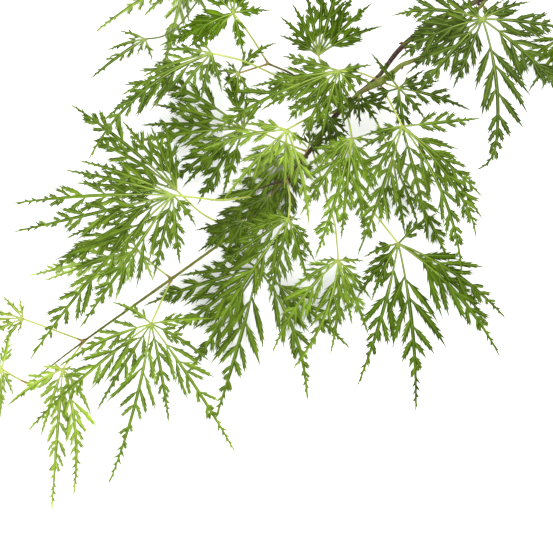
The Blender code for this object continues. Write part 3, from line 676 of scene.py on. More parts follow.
def side_axis(start, heading, length, turn, steps):
    """A side segment's rib, bending forward as it goes."""
    x, y = start
    axis = [(x, y, heading)]
    for number in range(steps):
        bend = heading + turn * (number + 0.5) / steps
        x += math.cos(bend) * length / steps
        y += math.sin(bend) * length / steps
        axis.append((x, y, heading + turn * (number + 1.0) / steps))
    return axis


# Clearance

def capsules(lines):
    """Stretches of stem or stalk as arrays of both ends and the radius."""
    starts, ends, radii = [], [], []
    for line in lines:
        for a, b in zip(line, line[1:]):
            starts.append(a[:3])
            ends.append(b[:3])
            radii.append(max(a[3], b[3]))
    return np.array(starts), np.array(ends), np.array(radii)


def gaps_to(points, limbs):
    """How far each point of a blade stays from the nearest limb's skin."""
    starts, ends, radii = limbs
    spans = ends - starts
    squares = (spans ** 2).sum(axis=1)
    away = points[:, None, :] - starts[None, :, :]
    along = np.clip((away * spans).sum(axis=2) / squares, 0.0, 1.0)
    return (np.linalg.norm(away - along[:, :, None] * spans, axis=2) - radii).min(axis=1)


def room_ahead(near, far, ribs):
    """The share of the way from near to far at which it first meets another lobe's rib."""
    room = 1.0
    for rib in ribs:
        for a, b in zip(rib, rib[1:]):
            meet = intersect_line_line_2d(near, far, a, b)
            if meet:
                room = min(room, (meet - near).length / (far - near).length)
    return room


# Blades

class Sheet:
    """Loose leaf parts of one kind, gathered as corners and faces before they become a mesh."""

    def __init__(self):
        self.corners = []   # x, y and lift over the leaf's own height
        self.faces = []
        self.finishes = []

    def corner(self, x, y, lift):
        self.corners.append((x, y, lift))
        return len(self.corners) - 1

    def face(self, finish, *ring):
        self.faces.append(ring)
        self.finishes.append(finish)


def tooth_faces(sheet, edge, spike, thick, side, finish, under):
    """A tooth from two corners of a margin to its point: its crest, its keel and their faces."""
    near, far = edge
    x, y, lift = ((a + b) / 2.0 for a, b in zip(sheet.corners[near], sheet.corners[far]))
    crest = sheet.corner(x, y, lift + thick * TOOTH_WALL)
    keel = sheet.corner(x, y, lift - thick * TOOTH_WALL)
    for middle, turned_up, kind in ((crest, 1.0, finish), (keel, -1.0, under)):
        if side * turned_up > 0:
            sheet.face(kind, middle, far, spike)
            sheet.face(kind, middle, spike, near)
        else:
            sheet.face(kind, middle, spike, far)
            sheet.face(kind, middle, near, spike)
    return crest, keel


def blade_strip(sheet, axis, halves, teeth, lifts, thick, top, under, tip_from=1.0, tip=0):
    """A narrow blade along an axis, closed all round, with a raised half either side of its rib.

    axis holds x, y and heading for each row, the last row being the point. halves gives the
    half width of each row but the last, lifts the lift of each rib point, the slope to the
    left and the slope to the right. teeth gives for each stretch and side how far the tooth
    stands out and how far its point lies ahead.
    """
    rows = []
    last = len(axis) - 1
    for number in range(last):
        x, y, bend = axis[number]
        half = halves[number]
        lift, left_slope, right_slope = lifts[number]
        wall = thick * (1.0 - THIN_POINT * number / last) / 2.0
        nx, ny = -math.sin(bend), math.cos(bend)
        row = [sheet.corner(x, y, lift + wall * RIB_SINK), sheet.corner(x, y, lift - wall)]
        for side, slope in ((1.0, left_slope), (-1.0, right_slope)):
            reach = half * side
            row.append(sheet.corner(x + nx * reach * 0.5, y + ny * reach * 0.5,
                                    lift + slope * half * 0.5 + wall + PUFF * min(half, 1.0)))
            row.append(sheet.corner(x + nx * reach, y + ny * reach, lift + slope * half))
        rows.append(row)
    x, y, bend = axis[last]
    point = sheet.corner(x, y, lifts[last][0])

    first = rows[0]
    sheet.face(under, first[0], first[2], first[3], first[1])
    sheet.face(under, first[1], first[5], first[4], first[0])
    for number in range(last - 1):
        now, ahead = rows[number], rows[number + 1]
        for side, mid, edge, tooth, finish in ((1.0, 2, 3, teeth[number][0], top[0]),
                                               (-1.0, 4, 5, teeth[number][1], top[1])):
            if number / last >= tip_from:
                finish = tip
            upper, lower = [now[edge]], [now[edge]]
            if tooth:
                out, on = tooth
                x, y, bend = axis[number + 1]
                nx, ny = -math.sin(bend) * side, math.cos(bend) * side
                reach = halves[number + 1] + out
                lift, *slopes = lifts[number + 1]
                slope = slopes[0] if side > 0 else slopes[1]
                spike = sheet.corner(x + math.cos(bend) * on + nx * reach,
                                     y + math.sin(bend) * on + ny * reach, lift + slope * reach)
                crest, keel = tooth_faces(sheet, (now[edge], ahead[edge]), spike, thick, side,
                                          finish, under)
                upper.append(crest)
                lower.append(keel)
            upper.append(ahead[edge])
            lower.append(ahead[edge])
            inner = [now[0], ahead[0], ahead[mid], now[mid]]
            outer = [now[mid], ahead[mid]] + upper[::-1]
            below = [now[1]] + lower + [ahead[1]]
            if side < 0:
                inner, outer, below = inner[::-1], outer[::-1], below[::-1]
            sheet.face(finish, *inner)
            sheet.face(finish, *outer)
            sheet.face(under, *below)
    end = rows[-1]
    left, right = (tip, tip) if tip_from < 1.0 else top
    sheet.face(left, end[0], point, end[2])
    sheet.face(left, end[2], point, end[3])
    sheet.face(under, end[1], end[3], point)
    sheet.face(right, end[0], end[4], point)
    sheet.face(right, end[4], end[5], point)
    sheet.face(under, end[1], point, end[5])


def ridge(sheet, rows, finishes):
    """A raised rib with a three-sided section, from rows of x, y, heading, lift, half width, rise."""
    rings = []
    for x, y, bend, lift, half, rise in rows:
        nx, ny = -math.sin(bend) * half, math.cos(bend) * half
        rings.append((sheet.corner(x + nx, y + ny, lift), sheet.corner(x - nx, y - ny, lift),
                      sheet.corner(x, y, lift + rise)))
    for now, ahead, finish in zip(rings, rings[1:], finishes):
        sheet.face(finish, now[0], now[2], ahead[2], ahead[0])
        sheet.face(finish, now[2], now[1], ahead[1], ahead[2])
        sheet.face(finish, now[1], now[0], ahead[0], ahead[1])
    sheet.face(finishes[0], *rings[0])
    sheet.face(finishes[-1], *rings[-1][::-1])


def groove(thick, share):
    """How high over a blade's middle its rib lies, at a share of its length."""
    return thick / 2.0 * (1.0 - THIN_POINT * share) * RIB_LIFT


def by_length(rule, length):
    return rule[0] + rule[1] * length


def segment_swell(share):
    """How wide a side segment is along its length: slim at its foot, drawn out to a long point."""
    foot = FOOT_WIDTH + (1.0 - FOOT_WIDTH) * eased(share / FOOT_OVER)
    return foot * (1.0 - POINT_LOSS * eased((share - POINT_FROM) / POINT_OVER))


def side_segment(blades, ribs, rng, root, heading, length, hand, lean, cut, finish):
    """A side segment: slim at its foot, widest half way, with teeth that point forward."""
    first, last = TOOTHED
    count = max(1, round((last - first) * length / by_length(TOOTH_PITCH, length)))
    pitch = (last - first) / count
    shares = [0.0] + [first + pitch * number for number in range(count + 1)] + [TAPER_AT, 1.0]
    turn = -hand * math.radians(SIDE_BOW) * rng.uniform(*BOW_SPREAD)
    curve = side_axis(root[:2], heading, length, turn, RIB_STEPS)
    axis = [path_at((curve, [spot[2] for spot in curve]), share) for share in shares]
    widest = by_length(HALF_WIDTH, length) * cut.wide * rng.uniform(*WIDTH_SPREAD)
    stand = by_length(TOOTH_STAND, length) * (1.0 + (cut.wide - 1.0) * TOOTH_FOLLOWS)
    stand *= cut.teeth * rng.uniform(*STAND_SPREAD)
    fold = FOLD * rng.uniform(*FOLD_SPREAD)
    roll = rng.uniform(-ROLL, ROLL)
    climb = rng.uniform(-SIDE_SLOPE, SIDE_SLOPE)
    halves, lifts, teeth = [], [], [(None, None)]
    for share in shares:
        halves.append(widest * segment_swell(share))
        arch = ARCH * math.sin(math.pi * share) * min(1.0, length / ARCH_LENGTH)
        lifts.append((root[2] + lean * share * length + climb * share * length + arch,
                      fold + roll, fold - roll))
    for share in shares[2:-2]:
        pair = []
        for side in (1.0, -1.0):
            size = (OUTER_TOOTH if side == hand else INNER_TOOTH) * by_length(TOOTH_FADE, share)
            tooth = (stand * size * rng.uniform(*OUT_SPREAD),
                     pitch * length * TOOTH_AHEAD * rng.uniform(*AHEAD_SPREAD))
            pair.append(None if rng.random() < TOOTH_MISSING else tooth)
        teeth.append(pair)
    teeth.append((None, None))
    blade_strip(blades, axis, halves[:-1], teeth, lifts, SEGMENT_THICK, finish, UNDER)
    rows = []
    for share, (x, y, bend), (lift, *_) in list(zip(shares, axis, lifts))[:-2]:
        rows.append((x, y, bend, lift + groove(SEGMENT_THICK, share),
                     SIDE_RIB_HALF * (1.0 - SIDE_RIB_THIN * share),
                     SIDE_RIB_RISE * (1.0 - SIDE_RIB_LOW * share)))
    ridge(ribs, rows, [SIDE_RIB] * len(rows))


# Lobes

class Lobe:
    """A lobe's rib and habit: how it rolls and waves, and how its segments shorten to its tip."""

    def __init__(self, path, length, cut, sink, rng):
        self.path, self.length, self.cut, self.sink, self.rng = path, length, cut, sink, rng
        # A lobe that lies lower wears the darker greens, as painted shade
        self.greens = SHADED_GREENS if sink else HALF_GREENS
        self.roll = rng.uniform(-ROLL, ROLL) * LOBE_EVEN
        self.wave, self.phase = rng.uniform(*WAVE), rng.uniform(0.0, 2.0 * math.pi)
        self.fall = cut.fall + rng.uniform(-FALL_SPREAD, FALL_SPREAD)
        self.pairs = list(self.pair_shares())

    def pair_shares(self):
        """Where its pairs of side segments leave its rib, closer and closer to its tip."""
        share = self.cut.bare
        while share < LAST_PAIR:
            yield share
            crowded = eased((share - SPREAD_END) / SPREAD_FADE)
            near = by_length(PAIR_GAP, self.length) * self.cut.coarse
            far = by_length(TAIL_GAP, self.length)
            share += (near + (far - near) * crowded) / self.length

    def side_reach(self, share):
        """How long a segment that leaves at a share of the lobe is, in mm."""
        reach = SIDE_LENGTH * ((1.0 - share) / (1.0 - SIDE_PEAK)) ** self.fall
        return reach * (FIRST_SHORT if share < self.cut.bare + FIRST_OVER else 1.0) * self.length

    def wing_half(self, share):
        """Half the width of the narrow blade along its own rib."""
        half = WING_BARE
        if share >= self.cut.bare:
            full = WING_BARE + (WING_FULL - WING_BARE) * eased((share - self.cut.bare) / WING_WIDENS)
            half = full - (full - WING_TAIL) * eased((share - WING_NARROWS[0]) / WING_NARROWS[1])
        half *= 1.0 + (self.cut.wide - 1.0) * WING_FOLLOWS
        return min(half, POINT_HALF + POINT_SLOPE * (1.0 - share) * self.length)

    def wave_at(self, share):
        """How far its rib waves up or down at a share of its length."""
        return self.wave * math.sin(self.phase + WAVES * share) * min(1.0, share * WAVE_START)

    def tail_tooth(self, share, ahead):
        """A tooth of its tail: how far it stands out, and how far ahead its point lies."""
        least = min(max(TAIL_TOOTH_SHARE * self.length, TAIL_TOOTH[0]), TAIL_TOOTH[1])
        taper = min(TIP_TAPER, TIP_SHARE * self.length)
        reach = min(max(self.side_reach(share), least), SHORTEST_SEGMENT)
        reach *= min(1.0, (1.0 - ahead) * self.length / taper)
        out = reach * TAIL_TOOTH_OUT * self.rng.uniform(*TAIL_OUT_SPREAD)
        on = reach * self.rng.uniform(*TAIL_AHEAD_SPREAD) - (ahead - share) * self.length
        return out, max(on, TAIL_AHEAD)


def lobe_blade(lobe, blades, ribs, dry):
    """The narrow blade along a lobe's rib: a wing between its segments, then a toothed tail."""
    stops, toothed = [0.0, lobe.cut.bare * 0.5], {}
    first = lobe.rng.randrange(2)
    for share, ahead in zip(lobe.pairs, lobe.pairs[1:] + [1.0]):
        half = share + (ahead - share) * 0.5
        stops += [share, half]
        if lobe.side_reach(share) < SHORTEST_SEGMENT:
            toothed[share], toothed[half] = first, 1 - first
    if stops[-1] < LAST_STOP:
        stops.append(LAST_STOP)
    stops.append(1.0)
    axis = [path_at(lobe.path, share) for share in stops]
    lifts = [(lobe.wave_at(share) - lobe.sink * min(1.0, share * SINK_START),
              FOLD * LOBE_EVEN + lobe.roll, FOLD * LOBE_EVEN - lobe.roll) for share in stops]
    halves = [lobe.wing_half(share) for share in stops[:-1]]
    teeth = []
    for share, ahead in zip(stops[:-2], stops[1:]):
        pair = [None, None]
        if share in toothed:
            pair[toothed[share]] = lobe.tail_tooth(share, ahead)
        teeth.append(pair)
    tip_from, tip = (DRY_FROM, DRY) if dry else (TIP_FROM, TIP)
    blade_strip(blades, axis, halves, teeth, lifts, BLADE_THICK, lobe.rng.choice(lobe.greens),
                UNDER, tip_from, tip)
    rows, finishes = [], []
    for share, (x, y, bend), (lift, *_) in list(zip(stops, axis, lifts))[:-1]:
        rows.append((x, y, bend, lift + groove(BLADE_THICK, share),
                     RIB_FINE + (RIB_HALF - RIB_FINE) * (1.0 - share) ** RIB_TAPER,
                     RIB_RISE * (1.0 - RIB_LOW * share)))
        # A lower lobe's rib keeps the duller colour all along, as painted shade
        finishes.append(MAIN_RIB if share < BRIGHT_RIB and not lobe.sink else SIDE_RIB)
    ridge(ribs, rows, finishes)


def side_roots(lobe, others):
    """Where a lobe's side segments leave its rib: place, heading, reach and hand of each."""
    rng, roots = lobe.rng, []
    for share in lobe.pairs:
        if lobe.side_reach(share) < SHORTEST_SEGMENT:
            continue
        for hand in (1.0, -1.0):
            x, y, bend = path_at(lobe.path, share + rng.uniform(*PAIR_SPREAD))
            reach = lobe.side_reach(share) * lobe.cut.long * rng.uniform(*LENGTH_SPREAD)
            heading = bend + hand * math.radians(SIDE_ANGLE + rng.uniform(*ANGLE_SPREAD))
            near = Vector((x, y))
            far = near + Vector((math.cos(heading), math.sin(heading))) * reach
            room = room_ahead(near, far, others)
            if room < 1.0:
                reach *= min(room * SIDE_ROOM * lobe.cut.long, 1.0)
            if reach >= LEAST_SEGMENT:
                roots.append(((x, y, lobe.wave_at(share) - lobe.sink), heading, reach, hand))
    return roots


def clear_reaches(leaf, roots, limbs):
    """How far each side segment may reach before it comes too near a limb."""
    trial = []
    for (x, y, _), heading, reach, hand in roots:
        axis = side_axis((x, y), heading, reach, -hand * math.radians(SIDE_BOW), TRIALS)
        trial += [spot[:2] for spot in axis[1:]]
    trial = np.array(trial)
    gaps = gaps_to(np.column_stack((trial, leaf_heights(leaf, trial))), limbs)
    for row, (_, _, reach, _) in zip(gaps.reshape(-1, TRIALS), roots):
        blocked = np.flatnonzero(row < SIDE_CLEARANCE)
        yield reach * ((blocked[0] + SHORT_OF) / TRIALS) if len(blocked) else reach


def grow_lobe(leaf, path, length, paths, limbs, blades, ribs, rng, cut, dry=False, sink=0.0):
    """One lobe: its rib with a narrow wing, its pairs of side segments and its toothed tail."""
    lobe = Lobe(path, length, cut, sink, rng)
    lobe_blade(lobe, blades, ribs, dry)
    others = [[Vector(end) for end in other[0]] for other in paths if other is not path]
    roots = side_roots(lobe, others)
    if not roots:
        return
    for (root, heading, _, hand), reach in zip(roots, clear_reaches(leaf, roots, limbs)):
        finish = rng.choice(lobe.greens)
        if reach >= LEAST_SEGMENT:
            side_segment(blades, ribs, rng, root, heading, reach, hand, hand * lobe.roll, cut, finish)


# Stalks and hubs

def loft(sheet, rings, finishes):
    """A round part's walls from ring to ring of corners, and a face over either end."""
    for now, ahead, finish in zip(rings, rings[1:], finishes):
        for a, b in zip(range(len(now)), [*range(1, len(now)), 0]):
            sheet.face(finish, now[a], now[b], ahead[b], ahead[a])
    sheet.face(finishes[0], *rings[0][::-1])
    sheet.face(finishes[-1], *rings[-1])


def leaf_stalk(sheet, line):
    """A leaf's stalk: slender, with a swollen red foot."""
    rows = np.array(resampled(line, STALK_RING_STEP), float)
    ways = np.gradient(rows[:, :3], axis=0)
    ways /= np.linalg.norm(ways, axis=1)[:, None]
    length = len(rows) * STALK_RING_STEP
    rings, finishes = [], []
    for number, ((x, y, z, _), way) in enumerate(zip(rows, ways)):
        share = number / (len(rows) - 1)
        foot = math.exp(-((share * length / FOOT_REACH) ** 2))
        radius = STALK_RADIUS + (FOOT_RADIUS - STALK_RADIUS) * foot
        side = np.cross((0.0, 0.0, 1.0), way)
        side /= np.linalg.norm(side)
        over = np.cross(way, side)
        ring = []
        for turn in (2.0 * math.pi * k / STALK_SIDES for k in range(STALK_SIDES)):
            dx, dy, dz = (side * math.cos(turn) + over * math.sin(turn)) * radius
            ring.append(sheet.corner(x + dx, y + dy, z + dz))
        rings.append(ring)
        finishes.append(FOOT if share * length < FOOT_REACH * RED_FOOT else STALK)
    loft(sheet, rings, finishes)


def knuckle(sheet, leaf):
    """The little hub that all the ribs run into."""
    x, y = leaf.hub
    z = float(leaf_heights(leaf, np.array([leaf.hub], float))[0]) + HUB_LIFT
    rings = []
    for level in HUB_RINGS:
        wide = HUB_RADIUS * math.sqrt(1.0 - level * level)
        rings.append([sheet.corner(x + wide * math.cos(turn), y + wide * math.sin(turn),
                                   z + HUB_RADIUS * HUB_FLAT * level)
                      for turn in (2.0 * math.pi * k / STALK_SIDES for k in range(STALK_SIDES))])
    loft(sheet, rings, [HUB] * len(rings))


# Finishes, with scales to the metre

BLACK, WHITE = (0.0, 0.0, 0.0), (1.0, 1.0, 1.0)
MOTTLE_SCALE, PATCH_SCALE, VEIN_SCALE = 190.0, 75.0, 900.0
LIT_AND_SHADED_PATCHES = ((0.74, 0.0), (1.30, 0.06))   # how light and how yellow a blade's patches of painted shade and painted light are
STREAK_SCALE, PORE_SCALE, FLOOR_SCALE = 160.0, 1800.0, 40.0
GRAIN_SCALE, DOT_SCALE, CRUST_SCALE, CRACK_SCALE = 330.0, 520.0, 95.0, 700.0
STALK_GLOSS, BARK_GLOSS, UNDER_GLEAM, DRY_GLEAM = 0.2, 0.15, 0.12, 0.1


def grey(level):
    return (level, level, level)


def new_finish(name):
    finish = bpy.data.materials.new(name)
    finish.use_nodes = True
    tree = finish.node_tree
    place = tree.nodes.new("ShaderNodeTexCoord")
    return finish, tree, tree.nodes["Principled BSDF"], place.outputs["Object"]


def noise_of(tree, place, scale, detail, rough=0.55):
    """Soft random patches, so many to the metre."""
    noise = tree.nodes.new("ShaderNodeTexNoise")
    noise.inputs["Scale"].default_value = scale
    noise.inputs["Detail"].default_value = detail
    noise.inputs["Roughness"].default_value = rough
    tree.links.new(place, noise.inputs["Vector"])
    return noise.outputs["Fac"]


def ramp_of(tree, value, stops):
    ramp = tree.nodes.new("ShaderNodeValToRGB")
    steps = ramp.color_ramp.elements
    while len(steps) < len(stops):
        steps.new(0.5)
    for step, (at, colour) in zip(steps, stops):
        step.position = at
        step.color = (*colour, 1.0)
    tree.links.new(value, ramp.inputs["Fac"])
    return ramp.outputs["Color"]


def shade(colour, factor, warm=0.0):
    """A colour made lighter or darker, and a little more yellow, or bluer where warm is below 0."""
    return tuple(min(part * factor * (1.0 + warm * tilt), 1.0)
                 for part, tilt in zip(colour, (1.0, 0.4, -1.0)))


def bump_from(tree, shader, value, strength, distance):
    """A fine relief that only the light shows, with its depth in metres."""
    bump = tree.nodes.new("ShaderNodeBump")
    bump.inputs["Strength"].default_value = strength
    bump.inputs["Distance"].default_value = distance
    tree.links.new(value, bump.inputs["Height"])
    tree.links.new(bump.outputs["Normal"], shader.inputs["Normal"])


def mixed(tree, share, below, above):
    """A colour between two, each a socket or a plain colour."""
    mix = tree.nodes.new("ShaderNodeMix")
    mix.data_type = "RGBA"
    tree.links.new(share, mix.inputs["Factor"])
    for socket, colour in (("A", below), ("B", above)):
        if isinstance(colour, tuple):
            mix.inputs[socket].default_value = (*colour, 1.0)
        else:
            tree.links.new(colour, mix.inputs[socket])
    return mix.outputs["Result"]


def blade_finish(name, colour, gleam, rough=(0.45, 0.62)):
    """Leaf green: paler and darker in patches of painted light and shade, mottled, netted with fine
    veins, satin.
    """
    finish, tree, shader, place = new_finish(name)
    mottle = noise_of(tree, place, MOTTLE_SCALE, 3.0)
    greens = []
    for level, warm in LIT_AND_SHADED_PATCHES:
        base = shade(colour, level, warm)
        greens.append(ramp_of(tree, mottle, [(0.30, shade(base, 0.76)), (0.5, base),
                                             (0.72, shade(base, 1.26, 0.10))]))
    # Where the lighter and the darker patches of painted light and shade lie
    patches = ramp_of(tree, noise_of(tree, place, PATCH_SCALE, 2.0), [(0.38, BLACK), (0.62, WHITE)])
    veins = tree.nodes.new("ShaderNodeTexVoronoi")
    veins.feature = "DISTANCE_TO_EDGE"
    veins.inputs["Scale"].default_value = VEIN_SCALE
    tree.links.new(place, veins.inputs["Vector"])
    net = ramp_of(tree, veins.outputs["Distance"], [(0.0, grey(0.35)), (0.14, BLACK)])
    tree.links.new(mixed(tree, net, mixed(tree, patches, *greens), shade(colour, 1.7, 0.25)),
                   shader.inputs["Base Color"])
    satin = ramp_of(tree, mottle, [(0.3, grey(rough[0])), (0.7, grey(rough[1]))])
    tree.links.new(satin, shader.inputs["Roughness"])
    shader.inputs["Specular IOR Level"].default_value = gleam
    bump_from(tree, shader, veins.outputs["Distance"], 0.25, 0.00008)
    return finish


def streak_finish(name, colour, other, rough):
    """Stalk or rib: a fresh skin with soft changes of tint."""
    finish, tree, shader, place = new_finish(name)
    tint = noise_of(tree, place, STREAK_SCALE, 2.0)
    tree.links.new(ramp_of(tree, tint, [(0.35, colour), (0.68, other)]),
                   shader.inputs["Base Color"])
    shader.inputs["Roughness"].default_value = rough
    shader.inputs["Specular IOR Level"].default_value = STALK_GLOSS
    bump_from(tree, shader, noise_of(tree, place, PORE_SCALE, 2.0), 0.15, 0.0001)
    return finish


def bark_finish(name, deep, mid, light, patch, rough, green=None):
    """Young bark: mottled, with pale dots and a few patches, and green over part of its length."""
    finish, tree, shader, place = new_finish(name)
    grain = noise_of(tree, place, GRAIN_SCALE, 6.0, 0.72)
    skin = ramp_of(tree, grain, [(0.32, deep), (0.5, mid), (0.7, light)])
    if green:
        fresh = ramp_of(tree, grain, [(0.32, green[0]), (0.5, green[1]), (0.7, green[2])])
        split = tree.nodes.new("ShaderNodeSeparateXYZ")
        tree.links.new(place, split.inputs["Vector"])
        along = tree.nodes.new("ShaderNodeMapRange")
        along.inputs["From Min"].default_value = GREEN_REACH[0] * MM
        along.inputs["From Max"].default_value = GREEN_REACH[1] * MM
        tree.links.new(split.outputs["X"], along.inputs["Value"])
        skin = mixed(tree, ramp_of(tree, along.outputs["Result"], GREEN_STRETCH), skin, fresh)
    dots = tree.nodes.new("ShaderNodeTexVoronoi")
    dots.inputs["Scale"].default_value = DOT_SCALE
    tree.links.new(place, dots.inputs["Vector"])
    spots = ramp_of(tree, dots.outputs["Distance"], [(0.10, grey(0.55)), (0.2, BLACK)])
    dotted = mixed(tree, spots, skin, shade(light, 1.8))
    crust = ramp_of(tree, noise_of(tree, place, CRUST_SCALE, 4.0), [(0.56, BLACK), (0.66, grey(0.7))])
    tree.links.new(mixed(tree, crust, dotted, patch), shader.inputs["Base Color"])
    shader.inputs["Roughness"].default_value = rough
    shader.inputs["Specular IOR Level"].default_value = BARK_GLOSS
    bump_from(tree, shader, noise_of(tree, place, CRACK_SCALE, 5.0), 0.5, 0.0003)
    return finish


def plain_finish(name, colour, rough):
    """A smooth, dull surface that is hardly mottled."""
    finish, tree, shader, place = new_finish(name)
    tint = noise_of(tree, place, FLOOR_SCALE, 2.0)
    tree.links.new(ramp_of(tree, tint, [(0.3, shade(colour, 0.97)), (0.7, shade(colour, 1.03))]),
                   shader.inputs["Base Color"])
    shader.inputs["Roughness"].default_value = rough
    return finish


def leaf_greens(name, colour):
    """The greens of one tint, in order: plain, lighter as painted light, darker as painted shade, the
    young green of the tips, and the underside.
    """
    gleam = GLEAM * colour[1]
    return [blade_finish(name + "_green", colour, gleam),
            # A lighter, glossier copy and a darker copy of the green: painted light and painted shade
            # for the two halves of a folded blade
            blade_finish(name + "_green_painted_light", shade(colour, 1.38, 0.05), gleam * 1.5),
            blade_finish(name + "_green_painted_shade", shade(colour, 0.68, 0.02), gleam),
            blade_finish(name + "_green_tip", shade(colour, 1.25, 0.15), gleam),
            blade_finish(name + "_green_under", shade(colour, 1.15, -0.2), UNDER_GLEAM, (0.55, 0.7))]


def leaf_veins(name, tint):
    """The skins of one tint's ribs, in the order SIDE_RIB, MAIN_RIB."""
    return [streak_finish(name + "_side_rib", tint.side_rib, shade(tint.side_rib, 1.15), 0.45),
            streak_finish(name + "_main_rib", shade(tint.main_rib, 0.85), tint.main_rib, 0.42)]


# Pieces

class Gathered:
    """All the loose parts of one kind, in metres, ready to become one mesh."""

    def __init__(self):
        self.spots, self.faces, self.finishes, self.count = [], [], [], 0

    def add(self, sheet, finishes, leaf=None):
        corners = np.array(sheet.corners, float)
        if leaf:
            corners[:, 2] += leaf_heights(leaf, corners[:, :2])
            low = corners[:, 2] < FLOOR_SOFT
            corners[low, 2] = FLOOR_CLEAR + (FLOOR_SOFT - FLOOR_CLEAR) * np.exp(
                (corners[low, 2] - FLOOR_SOFT) / (FLOOR_SOFT - FLOOR_CLEAR))
        corners[:, 0] -= CENTRE[0]
        corners[:, 1] -= CENTRE[1]
        self.spots.append(corners * MM)
        self.faces += [tuple(corner + self.count for corner in ring) for ring in sheet.faces]
        self.finishes += [finishes[kind] for kind in sheet.finishes]
        self.count += len(corners)

    def piece(self, name):
        mesh = bpy.data.meshes.new(name)
        mesh.from_pydata(np.concatenate(self.spots).tolist(), [], self.faces)
        kinds = list(dict.fromkeys(self.finishes))
        for finish in kinds:
            mesh.materials.append(finish)
        mesh.polygons.foreach_set("material_index", [kinds.index(kind) for kind in self.finishes])
        mesh.shade_smooth()
        mesh.set_sharp_from_angle(angle=math.radians(SHARPEST_SMOOTH))
        made = bpy.data.objects.new(name, mesh)
        bpy.context.scene.collection.objects.link(made)
        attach(made, "root")
        return made


def alone(thing):
    bpy.ops.object.select_all(action="DESELECT")
    thing.select_set(True)
    bpy.context.view_layer.objects.active = thing


def dressed(piece, name, finishes):
    """A modelled piece with its name and finishes, smooth but for its sharp edges."""
    piece.name = name
    for finish in finishes:
        piece.data.materials.append(finish)
    alone(piece)
    bpy.ops.object.shade_smooth_by_angle(angle=math.radians(SHARPEST_SMOOTH))
    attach(piece, "root")
    return piece


def bark(name, line, nodes, finish):
    """A limb's bark: round and tapering, swollen at its nodes, ringed and a little rough."""
    rows = resampled(line, FINE_STEP)
    bpy.ops.object.select_all(action="DESELECT")
    bpy.ops.curve.primitive_nurbs_path_add(location=(0, 0, 0))
    limb = bpy.context.object
    curve = limb.data
    curve.splines.clear()
    spline = curve.splines.new("POLY")
    spline.points.add(len(rows) - 1)
    for point, (x, y, z, radius) in zip(spline.points, rows):
        swell = sum(math.exp(-((math.dist((x, y), spot) / NODE_REACH) ** 2)) for spot in nodes)
        point.co = ((x - CENTRE[0]) * MM, (y - CENTRE[1]) * MM, z * MM, 1.0)
        point.radius = radius * (1.0 + NODE_SWELL * min(swell, 1.0))
    curve.bevel_depth = MM
    curve.bevel_resolution = BARK_BEVEL
    curve.use_fill_caps = True
    alone(limb)
    bpy.ops.object.convert(target="MESH")
    bpy.ops.object.mode_set(mode="EDIT")
    bpy.ops.mesh.select_all(action="SELECT")
    bpy.ops.mesh.remove_doubles(threshold=WELD)
    bpy.ops.mesh.normals_make_consistent(inside=False)
    bpy.ops.mesh.select_all(action="DESELECT")
    bpy.ops.object.mode_set(mode="OBJECT")
    for size, share in RELIEF_GRAINS:
        grain = bpy.data.textures.new(name + "_grain", "CLOUDS")
        grain.noise_scale = size
        rough = limb.modifiers.new("relief", "DISPLACE")
        rough.texture = grain
        rough.texture_coords = "LOCAL"
        rough.strength = RELIEF * share * MM
        rough.mid_level = 0.5
        bpy.ops.object.modifier_apply(modifier=rough.name)
    limb.data.materials.clear()
    return dressed(limb, name, [finish])


def slimmed(line):
    """The main stem's line, thinner towards its tip."""
    return [(x, y, z, radius * (1.0 - SLIM_END * eased((SLIM_FROM - x) / SLIM_OVER)))
            for x, y, z, radius in line]


def turned(rings, sides):
    """A round shape that stands on the origin, drawn up from a circle ring by ring, in mm."""
    bpy.ops.object.select_all(action="DESELECT")
    bpy.ops.mesh.primitive_circle_add(vertices=sides, radius=rings[0][0] * MM, fill_type="NGON",
                                      location=(0, 0, 0))
    shape = bpy.context.object
    bpy.ops.object.mode_set(mode="EDIT")
    bpy.ops.mesh.select_all(action="SELECT")
    for (narrow, low), (wide, high) in zip(rings, rings[1:]):
        bpy.ops.mesh.extrude_region_move(
            TRANSFORM_OT_translate={"value": (0, 0, (high - low) * MM)})
        bpy.ops.transform.resize(value=(wide / narrow, wide / narrow, 1.0))
    bpy.ops.mesh.select_all(action="SELECT")
    bpy.ops.mesh.normals_make_consistent(inside=False)
    bpy.ops.mesh.select_all(action="DESELECT")
    bpy.ops.object.mode_set(mode="OBJECT")
    return shape


def set_on(shape, foot, way, size=1.0):
    """Stands a shape on its foot, pointing a given way, and takes its place into its mesh."""
    alone(shape)
    shape.location = ((foot[0] - CENTRE[0]) * MM, (foot[1] - CENTRE[1]) * MM, foot[2] * MM)
    shape.rotation_mode = "QUATERNION"
    shape.rotation_quaternion = Vector(way).to_track_quat("Z", "Y")
    shape.scale = (size, size, size)
    bpy.ops.object.transform_apply(location=True, rotation=True, scale=True)


def cut_face(line, finishes):
    """The clean cut at a limb's end: pale wood in two rings round a small pith."""
    radius = line[0][3]
    disc = dressed(turned([(share * radius, out) for share, out in CUT_RINGS], CUT_SIDES),
                   "cut_face", finishes)
    for face in disc.data.polygons:
        share = math.hypot(face.center.x, face.center.y) / (radius * MM)
        face.material_index = sum(share < edge for edge in CUT_EDGES)
    way = (Vector(line[0][:3]) - Vector(line[1][:3])).normalized()
    set_on(disc, Vector(line[0][:3]) - way * CUT_DEPTH, way)
    return disc


